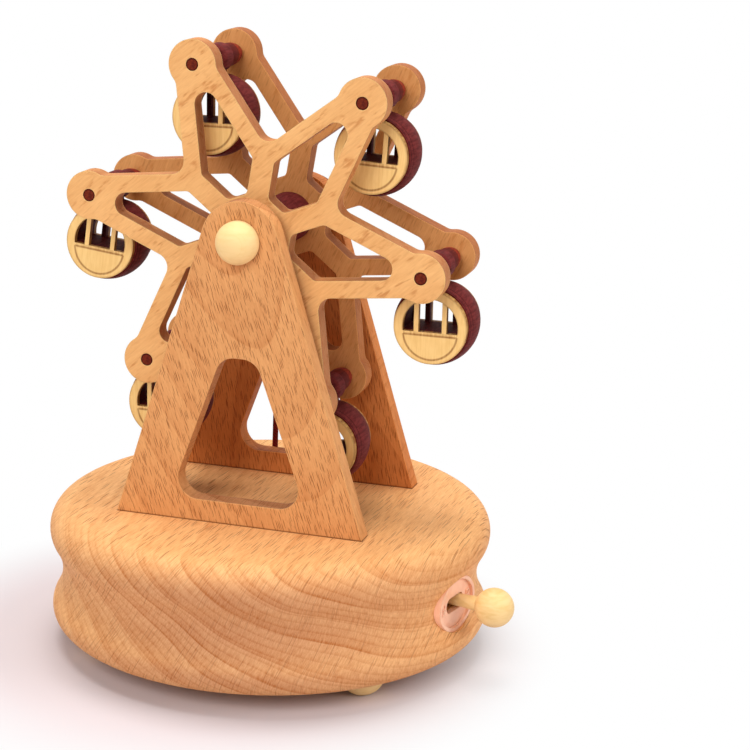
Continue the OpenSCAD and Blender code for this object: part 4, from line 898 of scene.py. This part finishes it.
class BOX_OT_switch(bpy.types.Operator):
    """Finish the switch plate and its knob, and raise the letters on the plate"""
    bl_idname = "music_box.switch"
    bl_label = "Switch"

    def execute(self, context):
        _, sizes = settings()
        plastic = plate_finish()
        dress(plastic, "switch_plate")
        low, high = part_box("switch_plate")
        plate = (low + high) / 2
        slide = next(Vector(j["axis"]) for j in frame["joints"] if j["name"] == "switch_slide")
        outward = Vector((slide.y, -slide.x, 0)).normalized()
        if outward.dot(plate) < 0:
            outward.negate()
        along = Vector((-outward.y, outward.x, 0))
        dress(birch("knob_birch", middle("switch_knob"), outward, sizes, lathe=0.5, grain_share=0.8),
              "switch_knob")
        recess, slot_end, rim_in = 0.8 * MM, 4.6 * MM, 8.5 * MM
        points = [v.co.dot(outward) for v in frame["nodes"]["switch_plate"].data.vertices]
        ground = outward * (max(points) - recess) + Vector((0, 0, plate.z))
        turn = Matrix((Vector((0, 0, -1)), along, outward)).transposed().to_4x4()
        for word, way in (("ON", -1), ("OFF", 1)):
            form = self.letters(word, context.scene.box_fittings)
            spot = ground + along * (plate.dot(along) + way * (slot_end + rim_in) / 2)
            bmesh.ops.transform(form, matrix=Matrix.Translation(spot) @ turn, verts=form.verts)
            piece(f"switch_letters_{word.lower()}", form, plastic, "stand_base", "pink_plastic")
        return {"FINISHED"}

    def letters(self, word, fittings):
        """A word in raised letters about the origin, reading along X."""
        curve = bpy.data.curves.new(word, "FONT")
        curve.body = word
        curve.size = fittings.letter_size
        curve.align_x = "CENTER"
        curve.align_y = "CENTER"
        curve.extrude = fittings.letter_relief
        curve.bevel_depth = LETTER_EDGE
        curve.resolution_u = LETTER_STEPS
        obj = bpy.data.objects.new(word, curve)
        bpy.context.scene.collection.objects.link(obj)
        view = bpy.context.evaluated_depsgraph_get()
        mesh = bpy.data.meshes.new_from_object(obj.evaluated_get(view))
        form = bmesh.new()
        form.from_mesh(mesh)
        bpy.data.objects.remove(obj)
        bpy.data.curves.remove(curve)
        bpy.data.meshes.remove(mesh)
        return form


class BOX_OT_drive(bpy.types.Operator):
    """Finish the belt and the movement's pulley"""
    bl_idname = "music_box.drive"
    bl_label = "Belt Drive"

    def execute(self, context):
        _, sizes = settings()
        dress(belt_finish(), "drive_belt")
        dress(birch("pulley_birch", middle("drive_pulley"), AXLE, sizes), "drive_pulley")
        return {"FINISHED"}


class BOX_OT_movement(bpy.types.Operator):
    """Finish the music movement and the winding key, and rib the key's panels"""
    bl_idname = "music_box.movement"
    bl_label = "Movement and Key"

    def execute(self, context):
        cols, _ = settings()
        pressed = metal("pressed_brass", cols.brass, (1, 0.4, 0), 0.22)
        dress(pressed, "spring_barrel", "winding_key")
        dress(metal("turned_brass", cols.brass, AXLE), "music_cylinder", "cylinder_gear", "governor_wheel")
        dress(metal("cast_zinc", cols.zinc, rough=0.45, brush=0.2), "bedplate")
        dress(metal("drawn_steel", cols.steel, AXLE, 0.24),
              "cylinder_arbor", "governor_fan", "winding_arbor", "key_pin", "comb_screws")
        dress(metal("ground_steel", cols.steel, (1, 0, 0), 0.30), "music_comb", "stop_lever", "mainspring")
        self.ribs(context.scene.box_fittings, pressed)
        return {"FINISHED"}

    def ribs(self, fittings, material):
        """Ribs along both panels of the key, each as long as the pointed oval is there."""
        panel_l, panel_w, floor = 12.4 * MM, 7.2 * MM, 0.35 * MM
        blade_l, side_room, end_room, bite = 16 * MM, 0.5 * MM, 0.4 * MM, 0.03 * MM
        level = joint_point("key_fold").z * MM
        middle_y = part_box("winding_key")[1].y - blade_l / 2
        arc = (panel_l ** 2 + panel_w ** 2) / (4 * panel_w)
        width = fittings.rib_pitch * RIB_WIDTH_SHARE
        count = int((panel_w / 2 - side_room) / fittings.rib_pitch)
        form = bmesh.new()
        for i in range(-count, count + 1):
            x = i * fittings.rib_pitch
            reach = math.sqrt(arc ** 2 - (arc - panel_w / 2 + abs(x)) ** 2) - end_room
            for side in (-1, 1):
                base = level + side * (floor - bite)
                rib(form, x, reach, base, base + side * fittings.rib_height, width, middle_y)
        piece("key_ribs", form, material, "key", "brass")


class BOX_OT_stage(bpy.types.Operator):
    """Set up the floor, the lamps, the even light and the camera"""
    bl_idname = "music_box.stage"
    bl_label = "Stage"

    def execute(self, context):
        opts = context.scene.box_stage
        self.floor(opts)
        self.sky(opts.ambient)
        for name, (size, spot) in LAMPS.items():
            self.lamp(name, getattr(opts, name), size, Vector(spot))
        self.camera(opts)
        context.scene.view_settings.view_transform = "Standard"
        return {"FINISHED"}

    def floor(self, opts):
        """Paper near the object that keeps the lamps' shadow, tinted darker than the white beyond as
        painted shade round a middle moved to the shadow's side, and plain white further out.
        """
        mesh = bpy.data.meshes.new("floor")
        form = bmesh.new()
        bmesh.ops.create_grid(form, x_segments=8, y_segments=8, size=FLOOR_SIZE)
        form.to_mesh(mesh)
        form.free()
        obj = bpy.data.objects.new("floor", mesh)
        bpy.context.scene.collection.objects.link(obj)
        fin = Finish("floor_paper")
        # Painted shade: the paper is darker than white near the object
        fin.set(Base_Color=opts.shadow_paper, Roughness=0.9, Specular_IOR_Level=0.0)
        shade_middle = (opts.shade_x / MM, opts.shade_y / MM, 0)
        x, y = fin.split(fin.shift(fin.place(), shade_middle), (1, 0, 0), (0, 1, 0))
        out = (x * x + y * y).root().rise(opts.near / MM, opts.far / MM)
        white = fin.node("ShaderNodeEmission", None, {"Color": (1, 1, 1), "Strength": 1.0})
        both = fin.node("ShaderNodeMixShader", None, {0: fin.seen() * out, 1: fin.shader, 2: white})
        fin.feed(fin.end.inputs["Surface"], both)
        mesh.materials.append(fin.material)

    def sky(self, ambient):
        """Even light all round, plain white where it is seen."""
        world = bpy.data.worlds.new("even_light")
        bpy.context.scene.world = world
        world.use_nodes = True
        sky = Nodes(world.node_tree)
        warm_white = (1.0, 0.985, 0.965)
        even = sky.node("ShaderNodeBackground", None, {"Color": warm_white, "Strength": ambient})
        white = sky.node("ShaderNodeBackground", None, {"Color": (1, 1, 1), "Strength": 1.0})
        both = sky.node("ShaderNodeMixShader", None, {0: sky.seen(), 1: even, 2: white})
        sky.node("ShaderNodeOutputWorld", None, {"Surface": both})

    def lamp(self, name, power, size, spot):
        """A round soft lamp that faces the object."""
        data = bpy.data.lights.new(name, "AREA")
        data.energy = power
        data.shape = "DISK"
        data.size = size
        obj = bpy.data.objects.new(name, data)
        bpy.context.scene.collection.objects.link(obj)
        obj.location = spot
        obj.rotation_mode = "QUATERNION"
        obj.rotation_quaternion = (LAMP_TARGET - spot).to_track_quat("-Z", "Y")

    def camera(self, opts):
        """The camera at its turn, height and tilt about the target."""
        a, e, r = opts.azimuth, opts.elevation, opts.roll
        back = Vector((math.sin(a) * math.cos(e), -math.cos(a) * math.cos(e), math.sin(e)))
        right = Vector((math.cos(a), math.sin(a), 0))
        up = back.cross(right)
        side = math.cos(r) * right + math.sin(r) * up
        top = -math.sin(r) * right + math.cos(r) * up
        data = bpy.data.cameras.new("camera")
        data.sensor_width = SENSOR_MM
        data.lens = opts.lens
        data.shift_x = opts.shift_x
        data.shift_y = opts.shift_y
        data.clip_start = CLIP_START
        data.clip_end = CLIP_END
        obj = bpy.data.objects.new("camera", data)
        bpy.context.scene.collection.objects.link(obj)
        place = Vector((0, 0, opts.target)) + right * opts.offset + back * opts.distance
        turn = Matrix((side, top, back)).transposed().to_4x4()
        obj.matrix_world = Matrix.Translation(place) @ turn
        bpy.context.scene.camera = obj


PIECES = (BOX_OT_base, BOX_OT_stands, BOX_OT_wheel, BOX_OT_gondolas, BOX_OT_switch, BOX_OT_drive,
          BOX_OT_movement, BOX_OT_stage)
GROUPS = {"box_finish": FinishSettings, "box_grain": GrainSettings, "box_fittings": FittingSettings,
          "box_stage": StageSettings}


class BOX_PT_panel(bpy.types.Panel):
    """Lists the steps that dress the music box, with their settings"""
    bl_idname = "BOX_PT_panel"
    bl_label = "Music Box"
    bl_space_type = "VIEW_3D"
    bl_region_type = "UI"
    bl_category = "Music Box"

    def draw(self, context):
        for step in PIECES:
            self.layout.operator(step.bl_idname)
        for name, group in GROUPS.items():
            box = self.layout.box()
            for setting in group.__annotations__:
                box.prop(getattr(context.scene, name), setting)


CLASSES = (*GROUPS.values(), *PIECES, BOX_PT_panel)


def register():
    for cls in CLASSES:
        bpy.utils.register_class(cls)
    for name, group in GROUPS.items():
        setattr(bpy.types.Scene, name, bpy.props.PointerProperty(type=group))


def unregister():
    for name in GROUPS:
        delattr(bpy.types.Scene, name)
    for cls in reversed(CLASSES):
        bpy.utils.unregister_class(cls)


def main():
    register()
    bpy.ops.music_box.base()
    bpy.ops.music_box.stands()
    bpy.ops.music_box.wheel()
    bpy.ops.music_box.gondolas()
    bpy.ops.music_box.switch()
    bpy.ops.music_box.drive()
    bpy.ops.music_box.movement()
    bpy.ops.music_box.stage()


if __name__ == "__main__":
    main()
